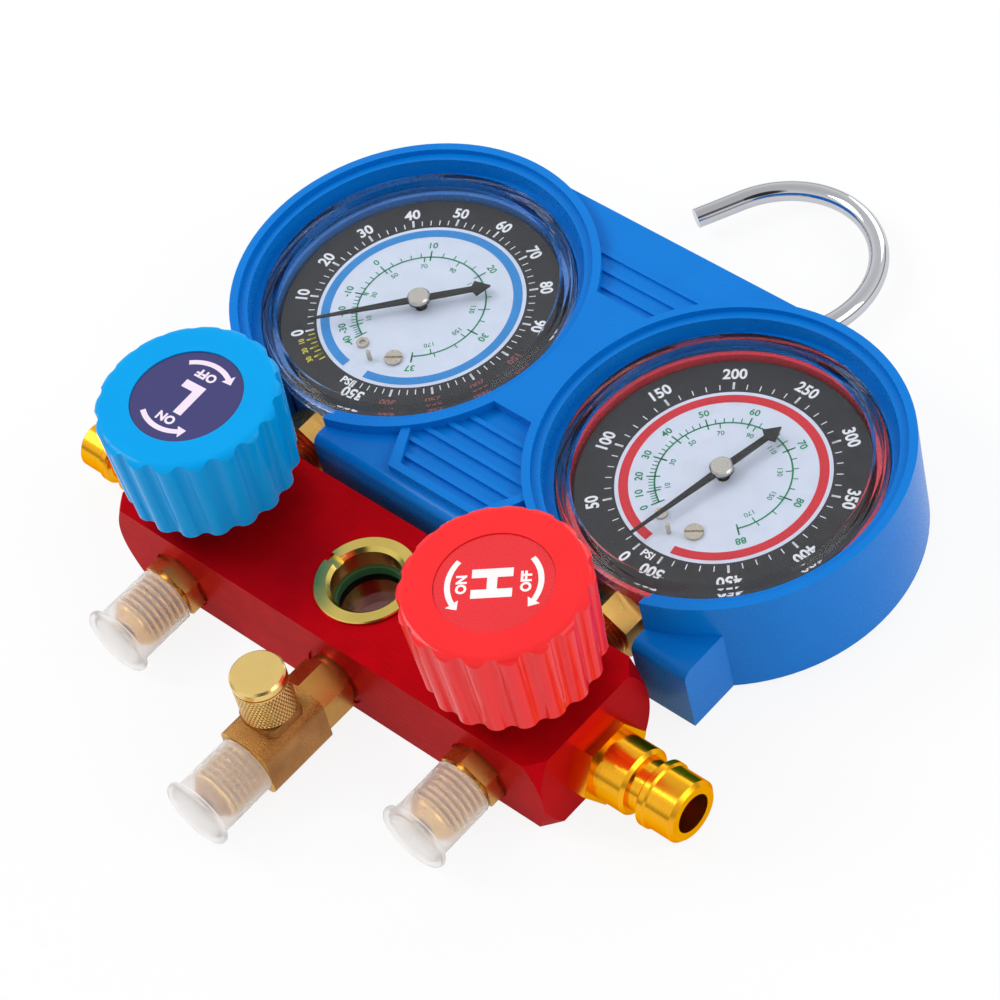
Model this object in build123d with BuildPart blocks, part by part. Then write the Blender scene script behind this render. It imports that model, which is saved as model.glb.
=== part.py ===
"""Refrigerant manifold gauge: a two-valve brass and aluminium service manifold with two dial gauges.

The part lies on its back. +X runs along the manifold from the low side to the high side, +Y runs from the
manifold to the gauges and the hanging hook, and +Z points out of the dials. All lengths are millimetres.
Parts of the low side stand at -X and parts of the high side at +X.
"""
from build123d import *
import math
import os

os.makedirs("parts", exist_ok=True)

# ---- driving dimensions ----------------------------------------------------------------------------
# clearances
joint_gap = 0.05
running_gap = 0.08
free_gap = 0.35

# manifold block
block_length = 131.0
block_depth = 35.0
block_height = 22.5
end_turned_radius = 17.4
station_inset = 19.2
port_z = 8.5
coupler_z = 9.5
gallery_radius = 2.5
seat_bore_radius = 2.1

# valves
bonnet_thread_radius = 8.0
bonnet_depth = 9.0
bonnet_hex = 18.0
bonnet_hex_height = 4.5
bonnet_neck_radius = 6.5
bonnet_neck_height = 2.6
stem_radius = 3.0
piston_radius = 4.6
piston_length = 5.0
seat_clearance = 0.05

# knobs
knob_rise = 1.4
knob_height = 25.0
knob_top_radius = 21.4
knob_base_radius = 20.2
knob_lobes = 18
knob_lobe_depth = 1.3
knob_crown_fillet = 2.2
knob_wall = 3.0
knob_hub_radius = 6.5
label_radius = 13.0
label_depth = 0.9
knob_screw_head_radius = 3.6
knob_screw_head_height = 2.4
knob_screw_radius = 1.75
stem_square = 4.4
stem_square_length = 12.0

# sight glass
sight_ring_radius = 12.1
sight_ring_bore = 8.4
sight_ring_depth = 5.2
sight_ring_proud = 0.8
sight_ring_chamfer = 0.9
sight_notch_width = 2.4
sight_notch_depth = 1.3
sight_gasket_height = 2.2
sight_glass_height = 3.0
sight_seat_radius = 7.6
sight_well_depth = 6.5

# hose ports
port_thread_radius = 6.35
port_bore_radius = 2.4
port_shank_radius = 5.0
port_shank_length = 5.0
port_hex = 13.0
port_hex_length = 4.6
port_neck_radius = 5.2
port_neck_length = 0.8
port_thread_length = 13.0
port_flare = 2.4
spot_face_radius = 7.9
spot_face_depth = 0.5

# centre tee
tee_x = 2.5
tee_nipple_length = 9.6
tee_width = 14.0
tee_length = 18.5
tee_corner = 2.6
tee_branch_offset = 8.6
tee_branch_radius = 5.6
tee_branch_height = 9.4
service_thread_radius = 4.1
service_thread_length = 8.0
service_bore_radius = 2.9

# service port on the tee
service_cap_radius = 6.35
service_cap_height = 12.5
service_cap_groove = 0.5
seal_height = 1.6
core_radius = 2.8
core_length = 7.0
core_pin_radius = 0.7
core_pin_length = 8.2

# dust caps
cap_wall = 0.82
cap_length = 16.6
cap_room = 2.8
cap_flange_radius = 8.7
cap_flange_thickness = 1.6
cap_end_wall = 1.2

# quick couplers
coupler_shank_radius = 5.0
coupler_shank_length = 8.0
coupler_hex_length = 5.0
coupler_bore_radius = 4.7
coupler_bore_depth = 16.0
high_coupler_radius = 8.0
high_coupler_hex = 18.0
low_coupler_radius = 6.5
low_coupler_hex = 16.0
coupler_barrel_length = 8.6
coupler_groove_length = 3.6
coupler_groove_depth = 1.7
coupler_collar_length = 2.4
coupler_nose_length = 7.4
coupler_nose_step = 0.5

# gauges
gauge_stand_off = 6.5
case_radius = 36.0
case_base_z = 2.2
case_floor = 1.2
case_wall = 1.2
case_rim_z = 21.6
dial_inset = 2.4
dial_top_z = 20.6
dial_thickness = 0.8
lens_overlap = 1.2
lens_wall = 0.9
lens_skirt_z = 19.6
lens_top_z = 27.4
lens_step = 1.0
window_inset = 2.3
window_thickness = 1.6

# gauge stems and movements
gauge_stem_z = 11.25
gauge_stem_thread_radius = 6.2
gauge_stem_depth = 8.5
gauge_stem_neck_radius = 5.0
gauge_passage_radius = 1.5
gauge_stem_hex = 14.0
gauge_stem_hex_length = 7.0
socket_width = 13.0
socket_depth = 12.5
socket_height = 11.0
socket_setback = 0.9
bourdon_inset = 11.0
bourdon_thickness = 3.0
bourdon_height = 7.0
bourdon_start = 262.0
bourdon_end = -25.0
plate_thickness = 1.0
plate_width = 12.0
plate_lap = 7.0
plate_reach = 5.0
pillar_spread = 4.4
pillar_setback = 2.0
pillar_radius = 1.2
arbor_radius = 0.7
pinion_radius = 1.5
gear_ratio = 8.0
sector_thickness = 1.2
sector_z = 13.0
sector_half_angle = 24.0
sector_rest_angle = -20.0
sector_hub_radius = 2.4
sector_tail_length = 4.6
link_thickness = 0.8
link_width = 1.8
link_pin_radius = 0.5
link_end_gap = 5.0
dial_post_radius = 1.6

# pointers and dial fixings
pointer_z = 23.0
pointer_thickness = 0.5
pointer_tip_inset = 7.6
pointer_tail_length = 17.0
pointer_width = 1.9
spade_length = 4.4
spade_point = 3.6
spade_width = 4.6
spade_waist = 1.5
pointer_tip_width = 0.5
pointer_hub_radius = 2.7
pointer_hub_height = 1.1
low_pointer_angle = 226.5
high_pointer_angle = 258.1
dial_fixing_radius = 16.7
dial_fixing_half_angle = 16.5
low_dial_fixing_angle = 273.2
high_dial_fixing_angle = 270.4
dial_screw_radius = 2.2
dial_screw_height = 0.7
dial_screw_slot = 0.5
dial_eyelet_radius = 1.5
stop_pin_place_radius = 19.0
stop_pin_radius = 0.55
stop_pin_height = 3.0

# holder
holder_wall = 2.2
ring_seat_gap = 0.3
ring_pocket_gap = 0.5
ring_funnel_width = 2.2
ring_rim_width = 4.1
ring_band_width = 2.0
ring_seat_top_z = 18.6
ring_top_z = 30.0
ring_ledge_drop = 1.4
pocket_top_z = 24.0
web_top_z = 27.3
parting_z = 10.6
tray_floor = 2.2
holder_front_gap = 3.4
block_top_fillet = 2.5
back_edge_chamfer = 2.6
bridge_below = 17.0
bridge_above = 21.0
stem_gap_inner = 10.7
stem_gap_outer = 12.7
outer_block_width = 15.3
outer_block_z = 20.8
panel_edge = 5.1
panel_low_half_width = 12.0
panel_waist_half_width = 20.0
panel_flare_length = 14.0
panel_border = 2.0
panel_border_height = 2.0
panel_ribs = 5
panel_rib_pitch = 4.15
panel_rib_height = 1.0
rib_width = 1.2
upper_ribs = 3
upper_rib_inset = 19.6
upper_rib_pitch = 4.1
upper_rib_height = 0.7
holder_screw_head_radius = 3.0
holder_screw_radius = 1.5
holder_screw_length = 16.0
holder_screw_head_height = 2.0
holder_boss_radius = 4.0
holder_screw_low_x = 20.0
holder_screw_low_edge = 7.6
holder_screw_high_x = 22.0
holder_screw_high_edge = 8.0

# hook
hook_wire_radius = 2.45
hook_z = 5.3
hook_radius = 23.5
hook_center_x = 6.0
hook_reach = 22.2
hook_exit_angle = -35.0
hook_turn_radius = 8.0
hook_neck_radius = 5.0
hook_tip_angle = 152.0
hook_tip_length = 12.0
hook_boss_length = 11.0
hook_boss_width = 12.0
hook_running_gap = 0.1
retainer_radius = 3.6
retainer_thickness = 1.4
retainer_gap = 0.3

# ---- derived places --------------------------------------------------------------------------------
block_front_y = -block_depth / 2
block_back_y = block_depth / 2
station_x = block_length / 2 - station_inset
bonnet_floor_z = block_height - bonnet_depth
bonnet_top_z = block_height + bonnet_hex_height + bonnet_neck_height
knob_base_z = bonnet_top_z + knob_rise
knob_top_z = knob_base_z + knob_height
label_floor_z = knob_top_z - label_depth
dial_radius = case_radius - dial_inset
window_radius = case_radius - window_inset
lens_radius = case_radius + lens_overlap
bourdon_radius = case_radius - bourdon_inset
pointer_tip_length = dial_radius - pointer_tip_inset
ring_seat_radius = case_radius + ring_seat_gap
ring_pocket_radius = lens_radius + ring_pocket_gap
ring_funnel_radius = ring_pocket_radius + ring_funnel_width
ring_outer_radius = ring_funnel_radius + ring_rim_width
gauge_y = block_back_y + gauge_stand_off + ring_outer_radius
case_front_y = gauge_y - case_radius
holder_front_y = block_back_y + holder_front_gap
upper_edge_y = gauge_y + ring_outer_radius
bridge_low_y = gauge_y - bridge_below
bridge_high_y = gauge_y + bridge_above
inner_block_x = station_x - stem_gap_inner
outer_block_x = station_x + stem_gap_outer
panel_low_y = holder_front_y + panel_edge
panel_waist_y = panel_low_y + panel_flare_length
upper_rib_first_y = upper_edge_y - upper_rib_inset
holder_screw_low_y = holder_front_y + holder_screw_low_edge
holder_screw_high_y = upper_edge_y - holder_screw_high_edge
hook_center_y = upper_edge_y + hook_reach
cap_bore_radius = port_thread_radius + running_gap
cap_radius = cap_bore_radius + cap_wall
tee_start_y = block_front_y - tee_nipple_length
tee_branch_y = tee_start_y - tee_branch_offset
tee_top_z = port_z + tee_branch_height
sides = (("low", -1), ("high", 1))


def save(piece, name):
    """Label a finished piece and write its STEP file."""
    piece.part.label = name
    export_step(piece.part, f"parts/{name}.step")


def front_plane(x, y, z):
    """Plane whose normal points to -Y, with its own +Y along +Z."""
    return Plane(origin=(x, y, z), x_dir=(1, 0, 0), z_dir=(0, -1, 0))


def back_plane(x, y, z):
    """Plane whose normal points to +Y."""
    return Plane(origin=(x, y, z), x_dir=(1, 0, 0), z_dir=(0, 1, 0))


def end_plane(x, y, z, sign):
    """Plane whose normal points along +X or -X."""
    return Plane(origin=(x, y, z), x_dir=(0, 1, 0), z_dir=(sign, 0, 0))


# ---- manifold block --------------------------------------------------------------------------------
turned_corner = math.hypot(block_depth, block_height) / 2 + 2
turned_run = turned_corner - end_turned_radius
with BuildPart() as manifold_block:
    with BuildSketch(Plane.YZ.offset(-block_length / 2)):
        with Locations((0, block_height / 2)):
            Rectangle(block_depth, block_height)
    extrude(amount=block_length)
    with BuildSketch(Plane.XY.offset(block_height / 2)):
        with BuildLine():
            Polyline(
                (-block_length / 2, 0),
                (-block_length / 2, end_turned_radius),
                (-block_length / 2 + turned_run, turned_corner),
                (block_length / 2 - turned_run, turned_corner),
                (block_length / 2, end_turned_radius),
                (block_length / 2, 0),
                close=True,
            )
        make_face()
    revolve(axis=Axis((0, 0, block_height / 2), (1, 0, 0)), mode=Mode.INTERSECT)
    # long gallery and the end bores of the couplers
    with BuildSketch(Plane.YZ.offset(-block_length / 2)):
        with Locations((0, coupler_z)):
            Circle(gallery_radius)
    extrude(amount=block_length, mode=Mode.SUBTRACT)
    for sign in (-1, 1):
        with BuildSketch(end_plane(sign * (block_length / 2 - coupler_shank_length), 0, coupler_z, sign)):
            Circle(coupler_shank_radius + joint_gap)
        extrude(amount=coupler_shank_length, mode=Mode.SUBTRACT)
    # valve chambers
    with BuildSketch(Plane.XY.offset(bonnet_floor_z)):
        with Locations((-station_x, 0), (station_x, 0)):
            Circle(bonnet_thread_radius + joint_gap)
    extrude(amount=bonnet_depth, mode=Mode.SUBTRACT)
    with BuildSketch(Plane.XY.offset(coupler_z)):
        with Locations((-station_x, 0), (station_x, 0)):
            Circle(seat_bore_radius)
    extrude(amount=bonnet_floor_z - coupler_z, mode=Mode.SUBTRACT)
    # hose ports in the front face
    with BuildSketch(front_plane(0, block_front_y + port_shank_length, port_z)):
        with Locations((-station_x, 0), (tee_x, 0), (station_x, 0)):
            Circle(port_shank_radius + joint_gap)
    extrude(amount=port_shank_length, mode=Mode.SUBTRACT)
    with BuildSketch(front_plane(0, block_front_y + spot_face_depth, port_z)):
        with Locations((-station_x, 0), (tee_x, 0), (station_x, 0)):
            Circle(spot_face_radius)
    extrude(amount=spot_face_depth, mode=Mode.SUBTRACT)
    with BuildSketch(front_plane(0, 0, port_z)):
        with Locations((-station_x, 0), (tee_x, 0), (station_x, 0)):
            Circle(port_bore_radius)
    extrude(amount=block_depth / 2 - port_shank_length, mode=Mode.SUBTRACT)
    # gauge stems in the back face
    with BuildSketch(back_plane(0, block_back_y - gauge_stem_depth, gauge_stem_z)):
        with Locations((-station_x, 0), (station_x, 0)):
            Circle(gauge_stem_thread_radius + joint_gap)
    extrude(amount=gauge_stem_depth, mode=Mode.SUBTRACT)
    with BuildSketch(back_plane(0, 0, gauge_stem_z)):
        with Locations((-station_x, 0), (station_x, 0)):
            Circle(gauge_passage_radius)
    extrude(amount=block_depth / 2 - gauge_stem_depth, mode=Mode.SUBTRACT)
    # sight glass well: ring bore, glass bore and the open well below the seat
    with BuildSketch(Plane.XY.offset(block_height - sight_ring_depth - sight_gasket_height - sight_glass_height)):
        Circle(sight_ring_radius + joint_gap)
    extrude(amount=sight_ring_depth + sight_gasket_height + sight_glass_height, mode=Mode.SUBTRACT)
    with BuildSketch(
        Plane.XY.offset(block_height - sight_ring_depth - sight_gasket_height - sight_glass_height - sight_well_depth)
    ):
        Circle(sight_seat_radius)
    extrude(amount=sight_well_depth, mode=Mode.SUBTRACT)
save(manifold_block, "manifold_block")

# ---- sight glass -----------------------------------------------------------------------------------
sight_glass_z = block_height - sight_ring_depth - sight_gasket_height - sight_glass_height
sight_gasket_z = sight_glass_z + sight_glass_height
sight_ring_z = sight_gasket_z + sight_gasket_height
sight_ring_top = block_height + sight_ring_proud

with BuildPart() as sight_glass_lens:
    with BuildSketch(Plane.XY.offset(sight_glass_z)):
        Circle(sight_ring_radius - joint_gap)
    extrude(amount=sight_glass_height)
save(sight_glass_lens, "sight_glass_lens")

with BuildPart() as sight_glass_gasket:
    with BuildSketch(Plane.XY.offset(sight_gasket_z)):
        Circle(sight_ring_radius - joint_gap)
        Circle(sight_seat_radius + 0.3, mode=Mode.SUBTRACT)
    extrude(amount=sight_gasket_height)
save(sight_glass_gasket, "sight_glass_gasket")

with BuildPart() as sight_glass_ring:
    with BuildSketch(Plane.XY.offset(sight_ring_z)):
        Circle(sight_ring_radius)
        Circle(sight_ring_bore, mode=Mode.SUBTRACT)
    extrude(amount=sight_ring_top - sight_ring_z)
    ring_bore_edge = sight_glass_ring.edges().filter_by(GeomType.CIRCLE).group_by(Axis.Z)[-1].sort_by(SortBy.RADIUS)
    chamfer(ring_bore_edge[0], sight_ring_chamfer)
    outer_edge = sight_glass_ring.edges().filter_by(GeomType.CIRCLE).group_by(Axis.Z)[-1].sort_by(SortBy.RADIUS)
    chamfer(outer_edge[-1], sight_ring_proud / 3)
    with BuildSketch(Plane.XY.offset(sight_ring_top - sight_notch_depth)):
        Rectangle(3 * sight_ring_radius, sight_notch_width)
    extrude(amount=sight_notch_depth, mode=Mode.SUBTRACT)
save(sight_glass_ring, "sight_glass_ring")


# ---- valves ----------------------------------------------------------------------------------------
piston_floor_z = bonnet_floor_z + seat_clearance
piston_top_z = piston_floor_z + piston_length
stem_base_z = piston_top_z + joint_gap
stem_top_z = label_floor_z - knob_screw_head_height - 0.6


def valve_bonnet(x):
    """Threaded brass bonnet with its hexagon, gland neck and bores."""
    with BuildPart() as piece:
        with BuildSketch(Plane.XY.offset(bonnet_floor_z)):
            with Locations((x, 0)):
                Circle(bonnet_thread_radius)
        extrude(amount=bonnet_depth)
        with BuildSketch(Plane.XY.offset(block_height)):
            with Locations((x, 0)):
                RegularPolygon(bonnet_hex / 2, 6, major_radius=False)
        extrude(amount=bonnet_hex_height)
        with BuildSketch(Plane.XY.offset(block_height + bonnet_hex_height)):
            with Locations((x, 0)):
                Circle(bonnet_neck_radius)
        extrude(amount=bonnet_neck_height)
        with BuildSketch(Plane.XY.offset(bonnet_floor_z)):
            with Locations((x, 0)):
                Circle(piston_radius + running_gap)
        extrude(amount=bonnet_depth, mode=Mode.SUBTRACT)
        with BuildSketch(Plane.XY.offset(block_height)):
            with Locations((x, 0)):
                Circle(stem_radius + running_gap)
        extrude(amount=bonnet_hex_height + bonnet_neck_height, mode=Mode.SUBTRACT)
    return piece


def valve_piston(x):
    """Sliding piston with an O-ring groove and a conical seat face."""
    with BuildPart() as piece:
        with BuildSketch(Plane.XY.offset(piston_floor_z)):
            with Locations((x, 0)):
                Circle(piston_radius)
        extrude(amount=piston_length)
        lower_edge = piece.edges().filter_by(GeomType.CIRCLE).sort_by(Axis.Z)[0]
        chamfer(lower_edge, piston_radius / 4)
        with BuildSketch(Plane.XY.offset(piston_floor_z + piston_length / 2)):
            with Locations((x, 0)):
                Circle(piston_radius + 1)
                Circle(piston_radius - 0.8, mode=Mode.SUBTRACT)
        extrude(amount=piston_length / 4, mode=Mode.SUBTRACT)
    return piece


def valve_stem(x):
    """Valve stem with a collar at its foot and a square at its top."""
    with BuildPart() as piece:
        with BuildSketch(Plane.XY.offset(stem_base_z)):
            with Locations((x, 0)):
                Circle(stem_radius)
        extrude(amount=stem_top_z - stem_square_length - stem_base_z)
        with BuildSketch(Plane.XY.offset(stem_top_z - stem_square_length)):
            with Locations((x, 0)):
                Rectangle(stem_square, stem_square)
        extrude(amount=stem_square_length)
        with BuildSketch(Plane.XY.offset(stem_top_z)):
            with Locations((x, 0)):
                Circle(knob_screw_radius)
        extrude(amount=-stem_square_length, mode=Mode.SUBTRACT)
    return piece


def lobed_outline(radius):
    """Closed wavy outline: each lobe is a convex arc and each flute between two lobes a concave one."""
    step = 2 * math.pi / knob_lobes
    valley = radius - knob_lobe_depth
    middle = radius - knob_lobe_depth * 0.45
    with BuildLine() as outline:
        for lobe in range(knob_lobes):
            centre = lobe * step
            points = (
                (middle, centre - step * 0.28),
                (radius, centre),
                (middle, centre + step * 0.28),
                (valley, centre + step * 0.5),
                (middle, centre + step * 0.72),
            )
            places = [(r * math.cos(a), r * math.sin(a)) for r, a in points]
            ThreePointArc(places[0], places[1], places[2])
            ThreePointArc(places[2], places[3], places[4])
    return outline.line


def control_knob(x):
    """Hollow lobed hand knob with a recessed label seat and a hub on the stem's square."""
    crown_z = knob_top_z - knob_crown_fillet
    with BuildPart(Plane.XY) as piece:
        with BuildSketch(Plane.XY.offset(knob_base_z)):
            add(lobed_outline(knob_base_radius))
            make_face()
        with BuildSketch(Plane.XY.offset(knob_top_z)):
            add(lobed_outline(knob_top_radius))
            make_face()
        loft(ruled=True)
        # rounded crown
        with BuildSketch(Plane.XZ):
            with BuildLine():
                Line((0, knob_base_z), (knob_top_radius + 1, knob_base_z))
                Line((knob_top_radius + 1, knob_base_z), (knob_top_radius + 1, crown_z - 1))
                Line((knob_top_radius + 1, crown_z - 1), (knob_top_radius, crown_z))
                RadiusArc(
                    (knob_top_radius, crown_z),
                    (knob_top_radius - knob_crown_fillet, knob_top_z),
                    -knob_crown_fillet,
                )
                Line((knob_top_radius - knob_crown_fillet, knob_top_z), (0, knob_top_z))
                Line((0, knob_top_z), (0, knob_base_z))
            make_face()
        revolve(axis=Axis.Z, mode=Mode.INTERSECT)
        # label seat and screw pocket
        with BuildSketch(Plane.XY.offset(label_floor_z)):
            Circle(label_radius + running_gap)
        extrude(amount=label_depth, mode=Mode.SUBTRACT)
        with BuildSketch(Plane.XY.offset(stem_top_z)):
            Circle(knob_screw_head_radius + joint_gap)
        extrude(amount=label_floor_z - stem_top_z, mode=Mode.SUBTRACT)
        # hollow underside round the hub
        with BuildSketch(Plane.XY.offset(knob_base_z)):
            Circle(knob_base_radius - knob_lobe_depth - knob_wall)
            Circle(knob_hub_radius, mode=Mode.SUBTRACT)
        extrude(amount=knob_height - 2 * knob_wall, mode=Mode.SUBTRACT)
        # stem bore and square socket in the hub
        with BuildSketch(Plane.XY.offset(knob_base_z)):
            Circle(stem_radius + joint_gap)
        extrude(amount=stem_top_z - stem_square_length - knob_base_z, mode=Mode.SUBTRACT)
        with BuildSketch(Plane.XY.offset(knob_base_z)):
            Rectangle(stem_square + 2 * joint_gap, stem_square + 2 * joint_gap)
        extrude(amount=stem_top_z - knob_base_z, mode=Mode.SUBTRACT)
    piece.part = piece.part.moved(Location((x, 0, 0)))
    return piece


def knob_label(x):
    """Printed disc set into the knob."""
    with BuildPart() as piece:
        with BuildSketch(Plane.XY.offset(label_floor_z)):
            with Locations((x, 0)):
                Circle(label_radius)
        extrude(amount=label_depth - 0.3)
    return piece


def knob_screw(x):
    """Pan screw that holds the knob on its stem, under the label."""
    with BuildPart() as piece:
        with BuildSketch(Plane.XY.offset(stem_top_z)):
            with Locations((x, 0)):
                Circle(knob_screw_head_radius)
        extrude(amount=knob_screw_head_height)
        with BuildSketch(Plane.XY.offset(stem_top_z)):
            with Locations((x, 0)):
                Circle(knob_screw_radius - joint_gap)
        extrude(amount=-stem_square_length + 1)
    return piece


for side, sign in sides:
    valve_x = sign * station_x
    save(valve_bonnet(valve_x), f"{side}_valve_bonnet")
    save(valve_piston(valve_x), f"{side}_valve_piston")
    save(valve_stem(valve_x), f"{side}_valve_stem")
    save(control_knob(valve_x), f"{side}_knob")
    save(knob_label(valve_x), f"{side}_knob_label")
    save(knob_screw(valve_x), f"{side}_knob_screw")


# ---- hose ports ------------------------------------------------------------------------------------
port_face_y = block_front_y + spot_face_depth
port_thread_y = port_face_y - port_hex_length - port_neck_length
port_end_y = port_thread_y - port_thread_length


def hose_port(x):
    """Brass hose port: shank in the block, hexagon, neck and threaded flare end."""
    with BuildPart() as piece:
        with BuildSketch(front_plane(x, port_face_y + port_shank_length - spot_face_depth, port_z)):
            Circle(port_shank_radius)
        extrude(amount=port_shank_length - spot_face_depth)
        with BuildSketch(front_plane(x, port_face_y, port_z)):
            RegularPolygon(port_hex / 2, 6, major_radius=False, rotation=30)
        extrude(amount=port_hex_length)
        with BuildSketch(front_plane(x, port_face_y - port_hex_length, port_z)):
            Circle(port_neck_radius)
        extrude(amount=port_neck_length)
        with BuildSketch(front_plane(x, port_thread_y, port_z)):
            Circle(port_thread_radius)
        extrude(amount=port_thread_length)
        chamfer(piece.edges().filter_by(GeomType.CIRCLE).group_by(Axis.Y)[0], port_flare)
        with BuildSketch(front_plane(x, port_face_y + port_shank_length, port_z)):
            Circle(port_bore_radius)
        extrude(until=Until.LAST, mode=Mode.SUBTRACT)
    return piece


for side, sign in sides:
    save(hose_port(sign * station_x), f"{side}_hose_port")

with BuildPart() as tee_nipple:
    with BuildSketch(front_plane(tee_x, port_face_y + port_shank_length - spot_face_depth, port_z)):
        Circle(port_shank_radius)
    extrude(amount=port_shank_length - spot_face_depth)
    with BuildSketch(front_plane(tee_x, port_face_y, port_z)):
        Circle(port_hex / 2)
    extrude(amount=2.0)
    with BuildSketch(front_plane(tee_x, port_face_y - 2.0, port_z)):
        RegularPolygon(port_hex / 2, 6, major_radius=False, rotation=30)
    extrude(amount=port_face_y - 2.0 - tee_start_y)
    with BuildSketch(front_plane(tee_x, tee_start_y, port_z)):
        Circle(port_shank_radius)
    extrude(amount=tee_branch_offset - tee_branch_radius)
    with BuildSketch(front_plane(tee_x, port_face_y + port_shank_length, port_z)):
        Circle(port_bore_radius)
    extrude(until=Until.LAST, mode=Mode.SUBTRACT)
save(tee_nipple, "tee_nipple")

tee_end_y = tee_start_y - tee_length
tee_thread_end_y = tee_end_y - port_thread_length
with BuildPart() as tee_body:
    with BuildSketch(front_plane(tee_x, tee_start_y, port_z)):
        RectangleRounded(tee_width, tee_width, tee_corner)
    extrude(amount=tee_length)
    with BuildSketch(front_plane(tee_x, tee_end_y, port_z)):
        Circle(port_thread_radius)
    extrude(amount=port_thread_length)
    chamfer(tee_body.edges().filter_by(GeomType.CIRCLE).group_by(Axis.Y)[0], port_flare)
    with BuildSketch(Plane.XY.offset(port_z)):
        with Locations((tee_x, tee_branch_y)):
            RectangleRounded(2 * tee_branch_radius, 2 * tee_branch_radius, tee_corner)
    extrude(amount=tee_branch_height)
    with BuildSketch(Plane.XY.offset(tee_top_z)):
        with Locations((tee_x, tee_branch_y)):
            Circle(service_thread_radius)
    extrude(amount=service_thread_length)
    # through bore, nipple socket and service bore
    with BuildSketch(front_plane(tee_x, tee_start_y, port_z)):
        Circle(port_bore_radius)
    extrude(amount=tee_length + port_thread_length, mode=Mode.SUBTRACT)
    with BuildSketch(front_plane(tee_x, tee_start_y, port_z)):
        Circle(port_shank_radius + joint_gap)
    extrude(amount=tee_branch_offset - tee_branch_radius, mode=Mode.SUBTRACT)
    with BuildSketch(Plane.XY.offset(tee_top_z + service_thread_length)):
        with Locations((tee_x, tee_branch_y)):
            Circle(service_bore_radius)
    extrude(amount=-core_length - 1.0, mode=Mode.SUBTRACT)
    with BuildSketch(Plane.XY.offset(port_z)):
        with Locations((tee_x, tee_branch_y)):
            Circle(core_radius - 1.0)
    extrude(amount=tee_branch_height + service_thread_length, mode=Mode.SUBTRACT)
save(tee_body, "tee_body")

# ---- service port: valve core, cap and seal --------------------------------------------------------
service_top_z = tee_top_z + service_thread_length
core_base_z = service_top_z - core_length - 1.0
with BuildPart() as valve_core:
    with BuildSketch(Plane.XY.offset(core_base_z)):
        with Locations((tee_x, tee_branch_y)):
            Circle(core_radius)
            Circle(core_pin_radius + running_gap, mode=Mode.SUBTRACT)
    extrude(amount=core_length)
save(valve_core, "valve_core")

with BuildPart() as valve_core_pin:
    with BuildSketch(Plane.XY.offset(core_base_z)):
        with Locations((tee_x, tee_branch_y)):
            Circle(core_pin_radius)
    extrude(amount=core_pin_length - 0.4)
save(valve_core_pin, "valve_core_pin")

cap_base_z = tee_top_z + free_gap
cap_top_z = cap_base_z + service_cap_height
seal_base_z = service_top_z
with BuildPart() as service_cap:
    with BuildSketch(Plane.XY.offset(cap_base_z)):
        with Locations((tee_x, tee_branch_y)):
            Circle(service_cap_radius)
    extrude(amount=service_cap_height)
    rims = service_cap.edges().filter_by(GeomType.CIRCLE)
    chamfer(rims, service_cap_groove)
    with BuildSketch(Plane.XY.offset(cap_top_z - 2.6)):
        with Locations((tee_x, tee_branch_y)):
            Circle(service_cap_radius + 1)
            Circle(service_cap_radius - service_cap_groove, mode=Mode.SUBTRACT)
    extrude(amount=service_cap_groove, mode=Mode.SUBTRACT)
    with BuildSketch(Plane.XY.offset(cap_base_z)):
        with Locations((tee_x, tee_branch_y)):
            Circle(service_thread_radius + running_gap)
    extrude(amount=seal_base_z + seal_height - cap_base_z, mode=Mode.SUBTRACT)
save(service_cap, "service_cap")

with BuildPart() as service_cap_seal:
    with BuildSketch(Plane.XY.offset(seal_base_z)):
        with Locations((tee_x, tee_branch_y)):
            Circle(service_thread_radius)
            Circle(core_radius - 0.4, mode=Mode.SUBTRACT)
    extrude(amount=seal_height)
save(service_cap_seal, "service_cap_seal")


# ---- dust caps -------------------------------------------------------------------------------------
def dust_cap(x, thread_end_y):
    """Soft pull-off cap over a hose thread, with a flange at its closed end."""
    closed_y = thread_end_y - cap_room
    mouth_y = closed_y - cap_end_wall + cap_length
    with BuildPart() as piece:
        with BuildSketch(front_plane(x, mouth_y, port_z)):
            Circle(cap_radius)
        extrude(amount=cap_length)
        with BuildSketch(front_plane(x, mouth_y - cap_length + cap_flange_thickness, port_z)):
            Circle(cap_flange_radius)
        extrude(amount=cap_flange_thickness)
        flange_edges = piece.edges().filter_by(GeomType.CIRCLE).filter_by(
            lambda edge: abs(edge.radius - cap_flange_radius) < 0.01
        )
        fillet(flange_edges, cap_flange_thickness * 0.4)
        with BuildSketch(front_plane(x, mouth_y, port_z)):
            Circle(cap_bore_radius)
        extrude(amount=cap_length - cap_end_wall, mode=Mode.SUBTRACT)
    return piece


save(dust_cap(-station_x, port_end_y), "low_dust_cap")
save(dust_cap(tee_x, tee_thread_end_y), "center_dust_cap")
save(dust_cap(station_x, port_end_y), "high_dust_cap")


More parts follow.
